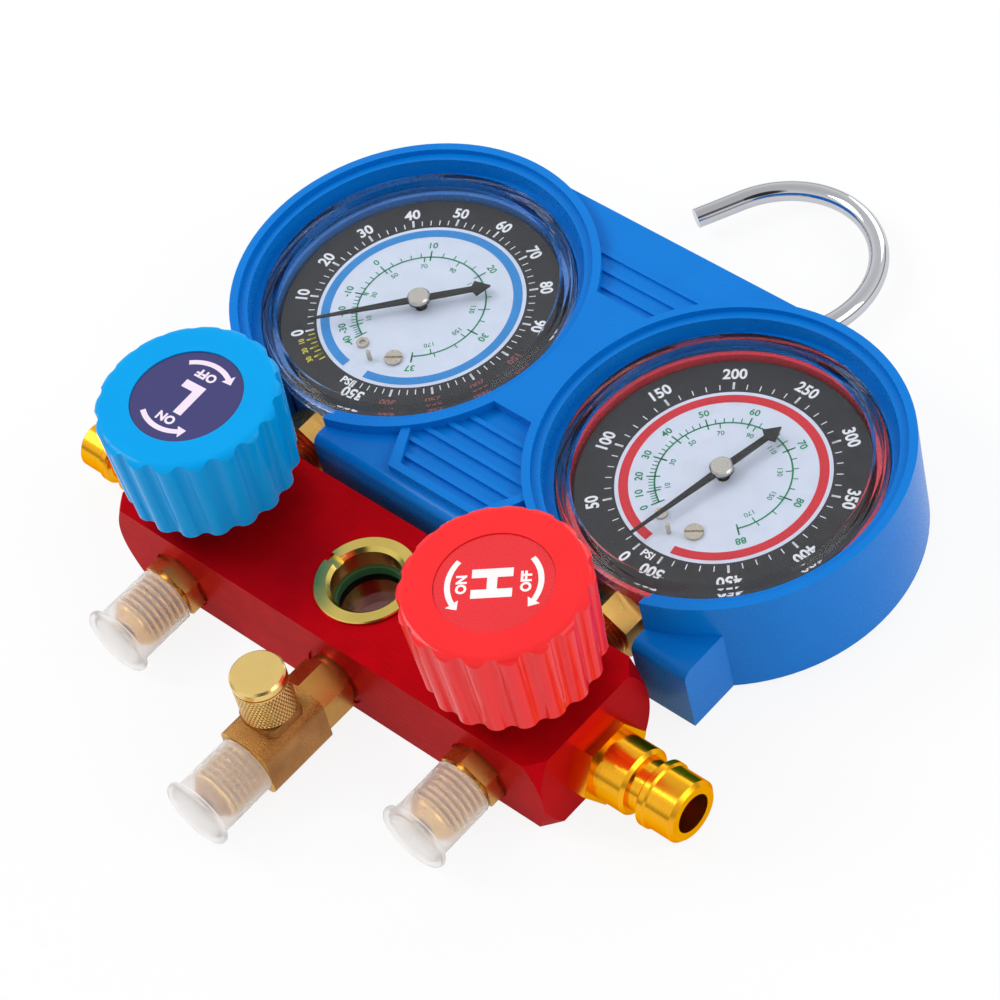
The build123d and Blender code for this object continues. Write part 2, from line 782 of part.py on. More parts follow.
# ---- quick couplers --------------------------------------------------------------------------------
def quick_coupler(sign, radius, hexagon):
    """Quick coupler stub: hexagon, barrel, lock groove, collar and bored nose, turned about X."""
    face_x = block_length / 2
    barrel_x = face_x + coupler_hex_length
    groove_x = barrel_x + coupler_barrel_length
    collar_x = groove_x + coupler_groove_length
    nose_x = collar_x + coupler_collar_length
    end_x = nose_x + coupler_nose_length
    nose_radius = radius - coupler_nose_step
    with BuildPart() as piece:
        with BuildSketch(end_plane(sign * face_x, 0, coupler_z, sign)):
            RegularPolygon(hexagon / 2, 6, major_radius=False)
        extrude(amount=coupler_hex_length)
        with BuildSketch(Plane.XZ):
            with BuildLine():
                Polyline(
                    (sign * (face_x - coupler_shank_length), coupler_z),
                    (sign * (face_x - coupler_shank_length), coupler_z + coupler_shank_radius),
                    (sign * face_x, coupler_z + coupler_shank_radius),
                    (sign * barrel_x, coupler_z + coupler_shank_radius),
                    (sign * barrel_x, coupler_z + radius),
                    (sign * (groove_x - 0.8), coupler_z + radius),
                    (sign * groove_x, coupler_z + radius - 0.8),
                    (sign * groove_x, coupler_z + radius - coupler_groove_depth),
                    (sign * (collar_x - 0.6), coupler_z + radius - coupler_groove_depth),
                    (sign * collar_x, coupler_z + radius - 0.6),
                    (sign * (collar_x + 0.5), coupler_z + radius),
                    (sign * (nose_x - 0.5), coupler_z + radius),
                    (sign * nose_x, coupler_z + nose_radius),
                    (sign * (end_x - 0.9), coupler_z + nose_radius),
                    (sign * end_x, coupler_z + nose_radius - 0.9),
                    (sign * end_x, coupler_z),
                    close=True,
                )
            make_face()
        revolve(axis=Axis((0, 0, coupler_z), (1, 0, 0)))
        with BuildSketch(end_plane(sign * (end_x - coupler_bore_depth), 0, coupler_z, sign)):
            Circle(min(coupler_bore_radius, nose_radius - 1.8))
        extrude(amount=coupler_bore_depth, mode=Mode.SUBTRACT)
    return piece


save(quick_coupler(-1, low_coupler_radius, low_coupler_hex), "low_coupler")
save(quick_coupler(1, high_coupler_radius, high_coupler_hex), "high_coupler")


# ---- gauges ----------------------------------------------------------------------------------------
stem_hex_y = case_front_y - gauge_stem_hex_length
socket_front_y = case_front_y + case_wall + socket_setback
lower_plate_z = gauge_stem_z - socket_height / 2 - plate_thickness
upper_plate_z = gauge_stem_z + socket_height / 2
plate_low_y = socket_front_y + socket_depth - plate_lap
plate_high_y = gauge_y + plate_reach
sector_radius = pinion_radius * gear_ratio
sector_pivot_distance = pinion_radius + sector_radius + free_gap


def tube_plane(x):
    """Cross-section plane of the pressure tube at its socket end."""
    turn = math.radians(bourdon_start)
    return Plane(
        origin=(x + bourdon_radius * math.cos(turn), gauge_y + bourdon_radius * math.sin(turn), gauge_stem_z),
        x_dir=(math.cos(turn), math.sin(turn), 0),
        z_dir=(math.sin(turn), -math.cos(turn), 0),
    )


def gauge_stem(x):
    """Brass stem and socket block in one piece: thread in the manifold, hexagon, neck and tube socket."""
    with BuildPart() as piece:
        with BuildSketch(back_plane(x, block_back_y - gauge_stem_depth, gauge_stem_z)):
            Circle(gauge_stem_thread_radius)
        extrude(amount=gauge_stem_depth + stem_hex_y - block_back_y)
        with BuildSketch(back_plane(x, stem_hex_y, gauge_stem_z)):
            RegularPolygon(gauge_stem_hex / 2, 6, major_radius=False, rotation=30)
        extrude(amount=gauge_stem_hex_length)
        with BuildSketch(back_plane(x, case_front_y, gauge_stem_z)):
            Circle(gauge_stem_neck_radius)
        extrude(amount=socket_front_y - case_front_y)
        with BuildSketch(back_plane(x, socket_front_y, gauge_stem_z)):
            Rectangle(socket_width, socket_height)
        extrude(amount=socket_depth)
        with BuildSketch(back_plane(x, block_back_y - gauge_stem_depth, gauge_stem_z)):
            Circle(gauge_passage_radius)
        extrude(amount=gauge_stem_depth + socket_front_y - block_back_y + socket_depth / 2, mode=Mode.SUBTRACT)
        with BuildSketch(tube_plane(x)):
            Ellipse(bourdon_thickness / 2 + joint_gap, bourdon_height / 2 + joint_gap)
        revolve(axis=Axis((x, gauge_y, 0), (0, 0, -1)), revolution_arc=bourdon_start - 240, mode=Mode.SUBTRACT)
    return piece


def gauge_case(x):
    """Drawn case with a rolled rim and a notch in its wall for the stem."""
    with BuildPart() as piece:
        with BuildSketch(Plane.XY.offset(case_base_z)):
            with Locations((x, gauge_y)):
                Circle(case_radius)
        extrude(amount=case_rim_z - case_base_z)
        fillet(piece.edges().filter_by(GeomType.CIRCLE).sort_by(Axis.Z)[0], 1.0)
        with BuildSketch(Plane.XY.offset(case_base_z + case_floor)):
            with Locations((x, gauge_y)):
                Circle(case_radius - case_wall)
        extrude(amount=case_rim_z - case_base_z - case_floor, mode=Mode.SUBTRACT)
        with BuildSketch(back_plane(x, case_front_y - 1, gauge_stem_z)):
            Circle(gauge_stem_neck_radius + joint_gap)
        extrude(amount=case_wall + 2, mode=Mode.SUBTRACT)
    return piece


def gauge_dial(x):
    """Dial plate with a centre hole for the arbor and holes for its fixings."""
    with BuildPart() as piece:
        with BuildSketch(Plane.XY.offset(dial_top_z - dial_thickness)):
            with Locations((x, gauge_y)):
                Circle(dial_radius)
                Circle(arbor_radius + 0.8, mode=Mode.SUBTRACT)
        extrude(amount=dial_thickness)
    return piece


def gauge_lens(x):
    """Clear screw-on lens: skirt over the case rim, stepped rim and flat window."""
    inner_skirt = lens_radius - lens_wall
    window_z = lens_top_z - lens_step
    with BuildPart() as piece:
        with BuildSketch(Plane.XZ.offset(-gauge_y)):
            with BuildLine():
                Polyline(
                    (x, window_z - window_thickness),
                    (x + window_radius, window_z - window_thickness),
                    (x + inner_skirt - 0.6, window_z - window_thickness - 1.4),
                    (x + inner_skirt - 0.6, case_rim_z),
                    (x + inner_skirt, case_rim_z),
                    (x + inner_skirt, lens_skirt_z),
                    (x + lens_radius, lens_skirt_z),
                    (x + lens_radius, lens_top_z - 0.8),
                    (x + lens_radius - 0.8, lens_top_z),
                    (x + window_radius + 0.8, lens_top_z),
                    (x + window_radius, window_z),
                    (x, window_z),
                    close=True,
                )
            make_face()
        revolve(axis=Axis((x, gauge_y, 0), (0, 0, 1)))
    return piece


def on_arc(center_x, center_y, radius, angle):
    """Point on a circle at an angle in degrees."""
    turn = math.radians(angle)
    return (center_x + radius * math.cos(turn), center_y + radius * math.sin(turn))


def bourdon_tube(x):
    """Flattened C-shaped pressure tube from the socket to its closed tip."""
    with BuildPart() as piece:
        with BuildSketch(tube_plane(x)):
            Ellipse(bourdon_thickness / 2, bourdon_height / 2)
        revolve(axis=Axis((x, gauge_y, 0), (0, 0, -1)), revolution_arc=bourdon_start - bourdon_end)
        with BuildSketch(Plane.XY.offset(gauge_stem_z - bourdon_height / 2 + 1)):
            with Locations(on_arc(x, gauge_y, bourdon_radius, bourdon_end)):
                Circle(bourdon_thickness * 0.62)
        extrude(amount=bourdon_height - 2)
    return piece


def movement_frame(x, fixing_angle):
    """Two plates clamped on the socket, with pillars at their far end and posts under the dial."""
    with BuildPart() as piece:
        for level in (lower_plate_z, upper_plate_z):
            with BuildSketch(Plane.XY.offset(level)):
                with Locations((x, plate_low_y)):
                    Rectangle(plate_width, plate_high_y - plate_low_y, align=(Align.CENTER, Align.MIN))
                with Locations((x, gauge_y), (x, gauge_y - sector_pivot_distance)):
                    Circle(arbor_radius + running_gap, mode=Mode.SUBTRACT)
            extrude(amount=plate_thickness)
        with BuildSketch(Plane.XY.offset(lower_plate_z + plate_thickness)):
            with Locations((x - pillar_spread, plate_high_y - pillar_setback),
                           (x + pillar_spread, plate_high_y - pillar_setback)):
                Circle(pillar_radius)
        extrude(amount=upper_plate_z - lower_plate_z - plate_thickness)
        with BuildSketch(Plane.XY.offset(upper_plate_z + plate_thickness)):
            with Locations(on_arc(x, gauge_y, dial_fixing_radius, fixing_angle - dial_fixing_half_angle),
                           on_arc(x, gauge_y, dial_fixing_radius, fixing_angle + dial_fixing_half_angle)):
                Circle(dial_post_radius)
        extrude(amount=dial_top_z - dial_thickness - upper_plate_z - plate_thickness)
    return piece


def sector_gear(x):
    """Sector gear with its arbor, tail arm and link pin."""
    pivot_y = gauge_y - sector_pivot_distance
    middle = 90 + sector_rest_angle
    tail = on_arc(x, pivot_y, sector_tail_length, middle + 180)
    with BuildPart() as piece:
        with BuildSketch(Plane.XY.offset(sector_z)):
            with BuildLine():
                Line((x, pivot_y), on_arc(x, pivot_y, sector_radius, middle - sector_half_angle))
                ThreePointArc(
                    on_arc(x, pivot_y, sector_radius, middle - sector_half_angle),
                    on_arc(x, pivot_y, sector_radius, middle),
                    on_arc(x, pivot_y, sector_radius, middle + sector_half_angle),
                )
                Line(on_arc(x, pivot_y, sector_radius, middle + sector_half_angle), (x, pivot_y))
            make_face()
            with Locations((x, pivot_y)):
                Circle(sector_hub_radius)
            with BuildLine():
                Line((x, pivot_y), tail)
            trace(line_width=link_width)
            with Locations(tail):
                Circle(link_width * 0.6)
        extrude(amount=sector_thickness)
        with BuildSketch(Plane.XY.offset(sector_z + sector_thickness)):
            with Locations(tail):
                Circle(link_pin_radius)
        extrude(amount=link_thickness + free_gap)
        with BuildSketch(Plane.XY.offset(lower_plate_z)):
            with Locations((x, pivot_y)):
                Circle(arbor_radius)
        extrude(amount=upper_plate_z + plate_thickness - lower_plate_z)
    return piece


def gauge_link(x):
    """Flat link from the sector's tail towards the tube's tip."""
    pivot_y = gauge_y - sector_pivot_distance
    tail = Vector(*on_arc(x, pivot_y, sector_tail_length, 270 + sector_rest_angle))
    tip = Vector(*on_arc(x, gauge_y, bourdon_radius, bourdon_end))
    along = (tip - tail).normalized()
    far = tip - along * link_end_gap
    with BuildPart() as piece:
        with BuildSketch(Plane.XY.offset(sector_z + sector_thickness + free_gap / 2)):
            with BuildLine():
                Line((tail.X, tail.Y), (far.X, far.Y))
            trace(line_width=link_width)
            with Locations((tail.X, tail.Y), (far.X, far.Y)):
                Circle(link_width / 2)
            with Locations((tail.X, tail.Y)):
                Circle(link_pin_radius + running_gap, mode=Mode.SUBTRACT)
        extrude(amount=link_thickness)
    return piece


def pointer_arbor(x):
    """Pinion and arbor that carry the pointer."""
    with BuildPart() as piece:
        with BuildSketch(Plane.XY.offset(lower_plate_z)):
            with Locations((x, gauge_y)):
                Circle(arbor_radius)
        extrude(amount=pointer_z + pointer_thickness - lower_plate_z)
        with BuildSketch(Plane.XY.offset(sector_z - 0.6)):
            with Locations((x, gauge_y)):
                Circle(pinion_radius)
        extrude(amount=sector_thickness + 1.2)
    return piece


def gauge_pointer(x, angle):
    """Tapered pointer with a spade tail and a turned hub."""
    turn = math.radians(angle)
    plane = Plane(origin=(x, gauge_y, pointer_z), x_dir=(math.cos(turn), math.sin(turn), 0), z_dir=(0, 0, 1))
    with BuildPart() as piece:
        with BuildSketch(plane):
            with BuildLine():
                Polyline(
                    (pointer_tip_length, pointer_tip_width / 2),
                    (0, pointer_width / 2),
                    (-pointer_tail_length + spade_length, spade_waist / 2),
                    (-pointer_tail_length + spade_point, spade_width / 2),
                    (-pointer_tail_length, 0),
                    (-pointer_tail_length + spade_point, -spade_width / 2),
                    (-pointer_tail_length + spade_length, -spade_waist / 2),
                    (0, -pointer_width / 2),
                    (pointer_tip_length, -pointer_tip_width / 2),
                    close=True,
                )
            make_face()
            Circle(pointer_hub_radius)
        extrude(amount=pointer_thickness)
        with BuildSketch(plane.offset(pointer_thickness)):
            Circle(pointer_hub_radius)
        extrude(amount=pointer_hub_height)
        chamfer(piece.edges().filter_by(GeomType.CIRCLE).sort_by(Axis.Z)[-1], 0.35)
        with BuildSketch(plane):
            Circle(arbor_radius)
        extrude(amount=pointer_thickness, mode=Mode.SUBTRACT)
    return piece


def dial_fixings(x, fixing_angle):
    """Slotted dial screw, dial eyelet and pointer stop pin, each a separate solid."""
    screw_place = on_arc(x, gauge_y, dial_fixing_radius, fixing_angle + dial_fixing_half_angle)
    eyelet_place = on_arc(x, gauge_y, dial_fixing_radius, fixing_angle - dial_fixing_half_angle)
    with BuildPart() as piece:
        with BuildSketch(Plane.XY.offset(dial_top_z)):
            with Locations(screw_place):
                Circle(dial_screw_radius)
        extrude(amount=dial_screw_height)
        with BuildSketch(Plane.XY.offset(dial_top_z + dial_screw_height / 2)):
            with Locations(screw_place):
                Rectangle(3 * dial_screw_radius, dial_screw_slot, rotation=35)
        extrude(amount=dial_screw_height, mode=Mode.SUBTRACT)
        with BuildSketch(Plane.XY.offset(dial_top_z)):
            with Locations(eyelet_place):
                Circle(dial_eyelet_radius)
                Circle(dial_eyelet_radius / 2, mode=Mode.SUBTRACT)
        extrude(amount=dial_screw_height)
        with BuildSketch(Plane.XY.offset(dial_top_z)):
            with Locations(on_arc(x, gauge_y, stop_pin_place_radius, fixing_angle)):
                Circle(stop_pin_radius)
        extrude(amount=stop_pin_height)
    return piece


for side, sign in sides:
    gauge_x = sign * station_x
    pointer_angle = low_pointer_angle if sign < 0 else high_pointer_angle
    fixing_angle = low_dial_fixing_angle if sign < 0 else high_dial_fixing_angle
    save(gauge_stem(gauge_x), f"{side}_gauge_stem")
    save(gauge_case(gauge_x), f"{side}_gauge_case")
    save(gauge_dial(gauge_x), f"{side}_gauge_dial")
    save(gauge_lens(gauge_x), f"{side}_gauge_lens")
    save(bourdon_tube(gauge_x), f"{side}_bourdon_tube")
    save(movement_frame(gauge_x, fixing_angle), f"{side}_movement_frame")
    save(sector_gear(gauge_x), f"{side}_sector_gear")
    save(gauge_link(gauge_x), f"{side}_gauge_link")
    save(pointer_arbor(gauge_x), f"{side}_pointer_arbor")
    save(gauge_pointer(gauge_x, pointer_angle), f"{side}_pointer")
    save(dial_fixings(gauge_x, fixing_angle), f"{side}_dial_fixings")


# ---- holder ----------------------------------------------------------------------------------------
cavity_top_z = web_top_z - holder_wall
channel_inner_radius = ring_pocket_radius + 1.6
channel_outer_radius = ring_outer_radius - holder_wall
channel_top_z = pocket_top_z - holder_wall
gap_center_x = (inner_block_x + outer_block_x) / 2
gap_width = outer_block_x - inner_block_x
outer_block_center_x = outer_block_x + outer_block_width / 2
gauge_places = ((-station_x, gauge_y), (station_x, gauge_y))
gap_places = ((-gap_center_x, holder_front_y), (gap_center_x, holder_front_y))
outer_places = ((-outer_block_center_x, holder_front_y), (outer_block_center_x, holder_front_y))
screw_places = (
    (-holder_screw_low_x, holder_screw_low_y),
    (holder_screw_low_x, holder_screw_low_y),
    (-holder_screw_high_x, holder_screw_high_y),
    (holder_screw_high_x, holder_screw_high_y),
)
web_align = (Align.CENTER, Align.MIN)
gap_length = 2 * (gauge_y - ring_outer_radius - holder_front_y) + ring_outer_radius - ring_seat_radius


def panel_outline(spread):
    """Lower panel outline below the bridge, grown outwards by spread; the rings trim its sides."""
    with BuildLine() as outline:
        Polyline(
            (-panel_low_half_width - spread, panel_low_y - spread),
            (panel_low_half_width + spread, panel_low_y - spread),
            (panel_waist_half_width + spread, panel_waist_y),
            (panel_waist_half_width + spread, bridge_low_y),
            (-panel_waist_half_width - spread, bridge_low_y),
            (-panel_waist_half_width - spread, panel_waist_y),
            close=True,
        )
    return outline.line


with BuildPart() as holder_front:
    # lower inner block and the two outer blocks, with rounded upper edges
    with BuildSketch(Plane.XY.offset(parting_z)):
        with Locations((0, holder_front_y)):
            Rectangle(2 * inner_block_x, gauge_y - holder_front_y, align=web_align)
    extrude(amount=web_top_z - parting_z)
    fillet(holder_front.edges().filter_by(Axis.X).group_by(Axis.Z)[-1].group_by(Axis.Y)[0], block_top_fillet)
    with BuildSketch(Plane.XY.offset(parting_z)):
        with Locations(*outer_places):
            Rectangle(outer_block_width, (gauge_y - holder_front_y) / 2, align=web_align)
    extrude(amount=outer_block_z - parting_z)
    low_front_edges = holder_front.edges().filter_by(Axis.X).filter_by(
        lambda edge: abs(edge.center().Z - outer_block_z) < 0.01 and edge.center().Y < holder_front_y + 1
    )
    fillet(low_front_edges, block_top_fillet)
    # rings, bridge between them and upper web
    with BuildSketch(Plane.XY.offset(parting_z)):
        with Locations(*gauge_places):
            Circle(ring_outer_radius)
        with Locations((0, bridge_low_y)):
            Rectangle(station_x, bridge_high_y - bridge_low_y, align=web_align)
    extrude(amount=ring_top_z - parting_z)
    with BuildSketch(Plane.XY.offset(parting_z)):
        with Locations((0, gauge_y)):
            Rectangle(2 * station_x, upper_edge_y - gauge_y, align=web_align)
    extrude(amount=web_top_z - parting_z)
    # hollow under the web and in the ring walls
    with BuildSketch(Plane.XY.offset(parting_z)):
        with Locations((0, holder_front_y + holder_wall)):
            Rectangle(2 * (inner_block_x - holder_wall), gauge_y - holder_front_y, align=web_align)
        with Locations((0, gauge_y)):
            Rectangle(2 * station_x, upper_edge_y - holder_wall - gauge_y, align=web_align)
        with Locations(*gauge_places):
            Circle(ring_outer_radius, mode=Mode.SUBTRACT)
    extrude(amount=cavity_top_z - parting_z, mode=Mode.SUBTRACT)
    with BuildSketch(Plane.XY.offset(parting_z)):
        with Locations(*gauge_places):
            Circle(channel_outer_radius)
            Circle(channel_inner_radius, mode=Mode.SUBTRACT)
        with Locations(*gap_places):
            Rectangle(gap_width + 2 * holder_wall, 2 * gap_length, mode=Mode.SUBTRACT)
    extrude(amount=channel_top_z - parting_z, mode=Mode.SUBTRACT)
    with BuildSketch(Plane.XY.offset(parting_z)):
        with Locations((-outer_block_center_x, holder_front_y + holder_wall),
                       (outer_block_center_x, holder_front_y + holder_wall)):
            Rectangle(outer_block_width - 2 * holder_wall, (gauge_y - holder_front_y) / 3, align=web_align)
        with Locations(*gauge_places):
            Circle(channel_inner_radius, mode=Mode.SUBTRACT)
    extrude(amount=outer_block_z - holder_wall - parting_z, mode=Mode.SUBTRACT)
    # gauge seats, pockets, funnel and the step inside the rim band
    for radius, low_z in (
        (ring_seat_radius, parting_z),
        (ring_pocket_radius, ring_seat_top_z),
        (ring_funnel_radius, pocket_top_z),
        (ring_outer_radius - ring_band_width, ring_top_z - ring_ledge_drop),
    ):
        with BuildSketch(Plane.XY.offset(low_z)):
            with Locations(*gauge_places):
                Circle(radius)
        extrude(amount=ring_top_z - low_z, mode=Mode.SUBTRACT)
    # passages for the gauge stems
    with BuildSketch(Plane.XY.offset(parting_z)):
        with Locations(*gap_places):
            Rectangle(gap_width, 2 * gap_length)
    extrude(amount=ring_top_z - parting_z, mode=Mode.SUBTRACT)
    # lower panel: raised border and cross ribs on its floor
    with BuildSketch(Plane.XY.offset(web_top_z)):
        add(panel_outline(panel_border))
        make_face()
        with BuildLine():
            add(panel_outline(0))
        make_face(mode=Mode.SUBTRACT)
        with Locations(*gauge_places):
            Circle(ring_outer_radius - ring_band_width, mode=Mode.SUBTRACT)
    extrude(amount=panel_border_height)
    with BuildSketch(Plane.XY.offset(web_top_z)):
        for rib in range(panel_ribs):
            with Locations((0, panel_low_y + (rib + 0.75) * panel_rib_pitch)):
                Rectangle(2 * panel_waist_half_width, rib_width)
        with BuildLine():
            add(panel_outline(0))
        make_face(mode=Mode.INTERSECT)
        with Locations(*gauge_places):
            Circle(ring_outer_radius - ring_band_width, mode=Mode.SUBTRACT)
    extrude(amount=panel_rib_height)
    # ribs on the upper web between the rings
    with BuildSketch(Plane.XY.offset(web_top_z)):
        for rib in range(upper_ribs):
            with Locations((0, upper_rib_first_y + rib * upper_rib_pitch)):
                Rectangle(2 * station_x, rib_width)
        with Locations(*gauge_places):
            Circle(ring_outer_radius - ring_band_width, mode=Mode.SUBTRACT)
    extrude(amount=upper_rib_height)
    # screw bosses inside the hollow
    with BuildSketch(Plane.XY.offset(parting_z)):
        with Locations(*screw_places):
            Circle(holder_boss_radius)
    extrude(amount=cavity_top_z - parting_z)
    with BuildSketch(Plane.XY.offset(parting_z)):
        with Locations(*screw_places):
            Circle(holder_screw_radius + joint_gap)
    extrude(amount=holder_screw_length - parting_z + tray_floor + holder_wall, mode=Mode.SUBTRACT)
save(holder_front, "holder_front")

boss_high_y = upper_edge_y - holder_wall
boss_low_y = boss_high_y - hook_boss_length
retainer_high_y = boss_low_y - retainer_gap
retainer_low_y = retainer_high_y - retainer_thickness
screw_seat_z = tray_floor + holder_wall

with BuildPart() as holder_back:
    # outer outline
    with BuildSketch(Plane.XY):
        with Locations((0, holder_front_y)):
            Rectangle(2 * inner_block_x, gauge_y - holder_front_y, align=web_align)
        with Locations(*outer_places):
            Rectangle(outer_block_width, (gauge_y - holder_front_y) / 2, align=web_align)
        with Locations(*gauge_places):
            Circle(ring_outer_radius)
        with Locations((0, gauge_y)):
            Rectangle(2 * station_x, upper_edge_y - gauge_y, align=web_align)
    extrude(amount=parting_z)
    # passages for the gauge stems
    with BuildSketch(Plane.XY):
        with Locations(*gap_places):
            Rectangle(gap_width, 2 * gap_length)
    extrude(amount=parting_z, mode=Mode.SUBTRACT)
    chamfer(holder_back.edges().group_by(Axis.Z)[0], back_edge_chamfer)
    # tray hollow and round gauge seats
    with BuildSketch(Plane.XY.offset(tray_floor)):
        with Locations((0, holder_front_y + holder_wall)):
            Rectangle(2 * (inner_block_x - holder_wall), gauge_y - holder_front_y, align=web_align)
        with Locations((0, gauge_y)):
            Rectangle(2 * station_x, upper_edge_y - holder_wall - gauge_y, align=web_align)
        with Locations(*gauge_places):
            Circle(channel_outer_radius)
            Circle(ring_seat_radius + holder_wall, mode=Mode.SUBTRACT)
        with Locations(*gap_places):
            Rectangle(gap_width + 2 * holder_wall, 2 * gap_length, mode=Mode.SUBTRACT)
    extrude(amount=parting_z - tray_floor, mode=Mode.SUBTRACT)
    with BuildSketch(Plane.XY.offset(tray_floor)):
        with Locations(*gauge_places):
            Circle(ring_seat_radius)
    extrude(amount=parting_z - tray_floor, mode=Mode.SUBTRACT)
    # outer blocks are hollow too
    with BuildSketch(Plane.XY.offset(back_edge_chamfer)):
        with Locations((-outer_block_center_x, holder_front_y + back_edge_chamfer),
                       (outer_block_center_x, holder_front_y + back_edge_chamfer)):
            Rectangle(outer_block_width - 2 * back_edge_chamfer, (gauge_y - holder_front_y) / 3, align=web_align)
        with Locations(*gauge_places):
            Circle(channel_inner_radius, mode=Mode.SUBTRACT)
    extrude(amount=parting_z - back_edge_chamfer, mode=Mode.SUBTRACT)
    # hook boss and screw bosses
    with BuildSketch(Plane.XY.offset(tray_floor)):
        with Locations((0, boss_low_y)):
            Rectangle(hook_boss_width, hook_boss_length, align=web_align)
        with Locations(*screw_places):
            Circle(holder_boss_radius)
    extrude(amount=parting_z - tray_floor)
    with BuildSketch(back_plane(0, boss_low_y, hook_z)):
        Circle(hook_wire_radius + hook_running_gap)
    extrude(amount=hook_boss_length + holder_wall, mode=Mode.SUBTRACT)
    with BuildSketch(Plane.XY.offset(hook_z)):
        with Locations((0, retainer_low_y - retainer_gap)):
            Rectangle(2 * (retainer_radius + free_gap), boss_low_y - retainer_low_y + retainer_gap, align=web_align)
    extrude(amount=-(retainer_radius + retainer_gap), mode=Mode.SUBTRACT)
    # screw holes with sunk heads
    with BuildSketch(Plane.XY):
        with Locations(*screw_places):
            Circle(holder_screw_radius + joint_gap)
    extrude(amount=parting_z, mode=Mode.SUBTRACT)
    with BuildSketch(Plane.XY):
        with Locations(*screw_places):
            Circle(holder_screw_head_radius + joint_gap)
    extrude(amount=screw_seat_z, mode=Mode.SUBTRACT)
save(holder_back, "holder_back")

with BuildPart() as holder_screws:
    with BuildSketch(Plane.XY.offset(screw_seat_z)):
        with Locations(*screw_places):
            Circle(holder_screw_head_radius)
    extrude(amount=-holder_screw_head_height)
    with BuildSketch(Plane.XY.offset(screw_seat_z)):
        with Locations(*screw_places):
            Circle(holder_screw_radius)
    extrude(amount=holder_screw_length - 1.0)
    with BuildSketch(Plane.XY.offset(screw_seat_z - holder_screw_head_height)):
        with Locations(*screw_places):
            Rectangle(3.6, 0.8)
            Rectangle(0.8, 3.6)
    extrude(amount=1.2, mode=Mode.SUBTRACT)
save(holder_screws, "holder_screws")


# ---- hook ------------------------------------------------------------------------------------------
turn_x, turn_y = on_arc(hook_center_x, hook_center_y, hook_radius - hook_turn_radius, hook_exit_angle)
run_y = turn_y - hook_turn_radius
neck_x = hook_neck_radius
neck_y = run_y - hook_neck_radius
tip_start = on_arc(hook_center_x, hook_center_y, hook_radius, hook_tip_angle)
tip_turn = math.radians(hook_tip_angle)
tip_end = (tip_start[0] - hook_tip_length * math.sin(tip_turn), tip_start[1] + hook_tip_length * math.cos(tip_turn))
middle_angle = (hook_tip_angle + hook_exit_angle) / 2
hook_plane = Plane.XY.offset(hook_z)

with BuildPart() as hook:
    with BuildLine(hook_plane) as hook_path:
        Line((0, retainer_low_y), (0, neck_y))
        ThreePointArc((0, neck_y), on_arc(neck_x, neck_y, hook_neck_radius, 135), (neck_x, run_y))
        Line((neck_x, run_y), (turn_x, run_y))
        ThreePointArc(
            (turn_x, run_y),
            on_arc(turn_x, turn_y, hook_turn_radius, (hook_exit_angle - 90) / 2),
            on_arc(turn_x, turn_y, hook_turn_radius, hook_exit_angle),
        )
        ThreePointArc(
            on_arc(hook_center_x, hook_center_y, hook_radius, hook_exit_angle),
            on_arc(hook_center_x, hook_center_y, hook_radius, middle_angle),
            tip_start,
        )
        Line(tip_start, tip_end)
    with BuildSketch(back_plane(0, retainer_low_y, hook_z)):
        Circle(hook_wire_radius)
    sweep(path=hook_path.line)
    fillet(hook.edges().filter_by(GeomType.CIRCLE).sort_by(Axis.Y)[0], 0.4)
save(hook, "hook")

with BuildPart() as hook_retainer:
    with BuildSketch(back_plane(0, retainer_low_y, hook_z)):
        Circle(retainer_radius)
        Circle(hook_wire_radius, mode=Mode.SUBTRACT)
    extrude(amount=retainer_thickness)
save(hook_retainer, "hook_retainer")
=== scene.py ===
"""Looks of a refrigerant manifold gauge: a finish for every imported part, and the printing on it."""
from __future__ import annotations

import logging
import math
from dataclasses import dataclass, field
from enum import Enum

import bpy
from mathutils import Euler, Matrix, Vector


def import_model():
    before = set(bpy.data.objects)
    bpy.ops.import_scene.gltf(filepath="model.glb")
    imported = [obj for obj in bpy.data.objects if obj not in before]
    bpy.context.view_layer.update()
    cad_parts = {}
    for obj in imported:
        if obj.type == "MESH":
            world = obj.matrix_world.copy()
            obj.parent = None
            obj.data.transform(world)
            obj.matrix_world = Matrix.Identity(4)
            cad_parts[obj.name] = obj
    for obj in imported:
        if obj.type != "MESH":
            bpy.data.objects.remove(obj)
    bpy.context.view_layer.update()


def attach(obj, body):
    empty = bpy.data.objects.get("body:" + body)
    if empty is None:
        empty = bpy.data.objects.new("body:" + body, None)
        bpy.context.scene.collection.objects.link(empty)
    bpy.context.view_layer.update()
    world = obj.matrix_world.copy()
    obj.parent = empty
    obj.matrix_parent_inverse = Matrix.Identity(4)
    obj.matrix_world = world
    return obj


log = logging.getLogger("manifold_gauge")

MM = 0.001
STATION_X = 46.3
GAUGE_Y = 68.0
DIAL_Z = 20.6
PORT_Z = 8.5
COUPLER_Z = 9.5
TEE_X = 2.5
BRANCH_Y = -35.7
LABEL_Z = 55.7
STEM_Z = 11.25
LABEL_INK = 0.03
DIAL_INK = 0.05
ENDLESS = 1000.0

Color = tuple[float, float, float, float]
Point = tuple[float, float, float]
Spot = tuple[float, float]
Socket = bpy.types.NodeSocket
Piece = bpy.types.Object


def srgb(red: int, green: int, blue: int) -> Color:
    """Turn display values from 0 to 255 into a linear color.

    Args:
        red: Display red.
        green: Display green.
        blue: Display blue.

    Returns:
        Linear red, green, blue and an alpha of 1.
    """
    def linear(value: int) -> float:
        """Linear share of one display value."""
        share = value / 255
        return share / 12.92 if share <= 0.04045 else ((share + 0.055) / 1.055) ** 2.4

    return (linear(red), linear(green), linear(blue), 1.0)


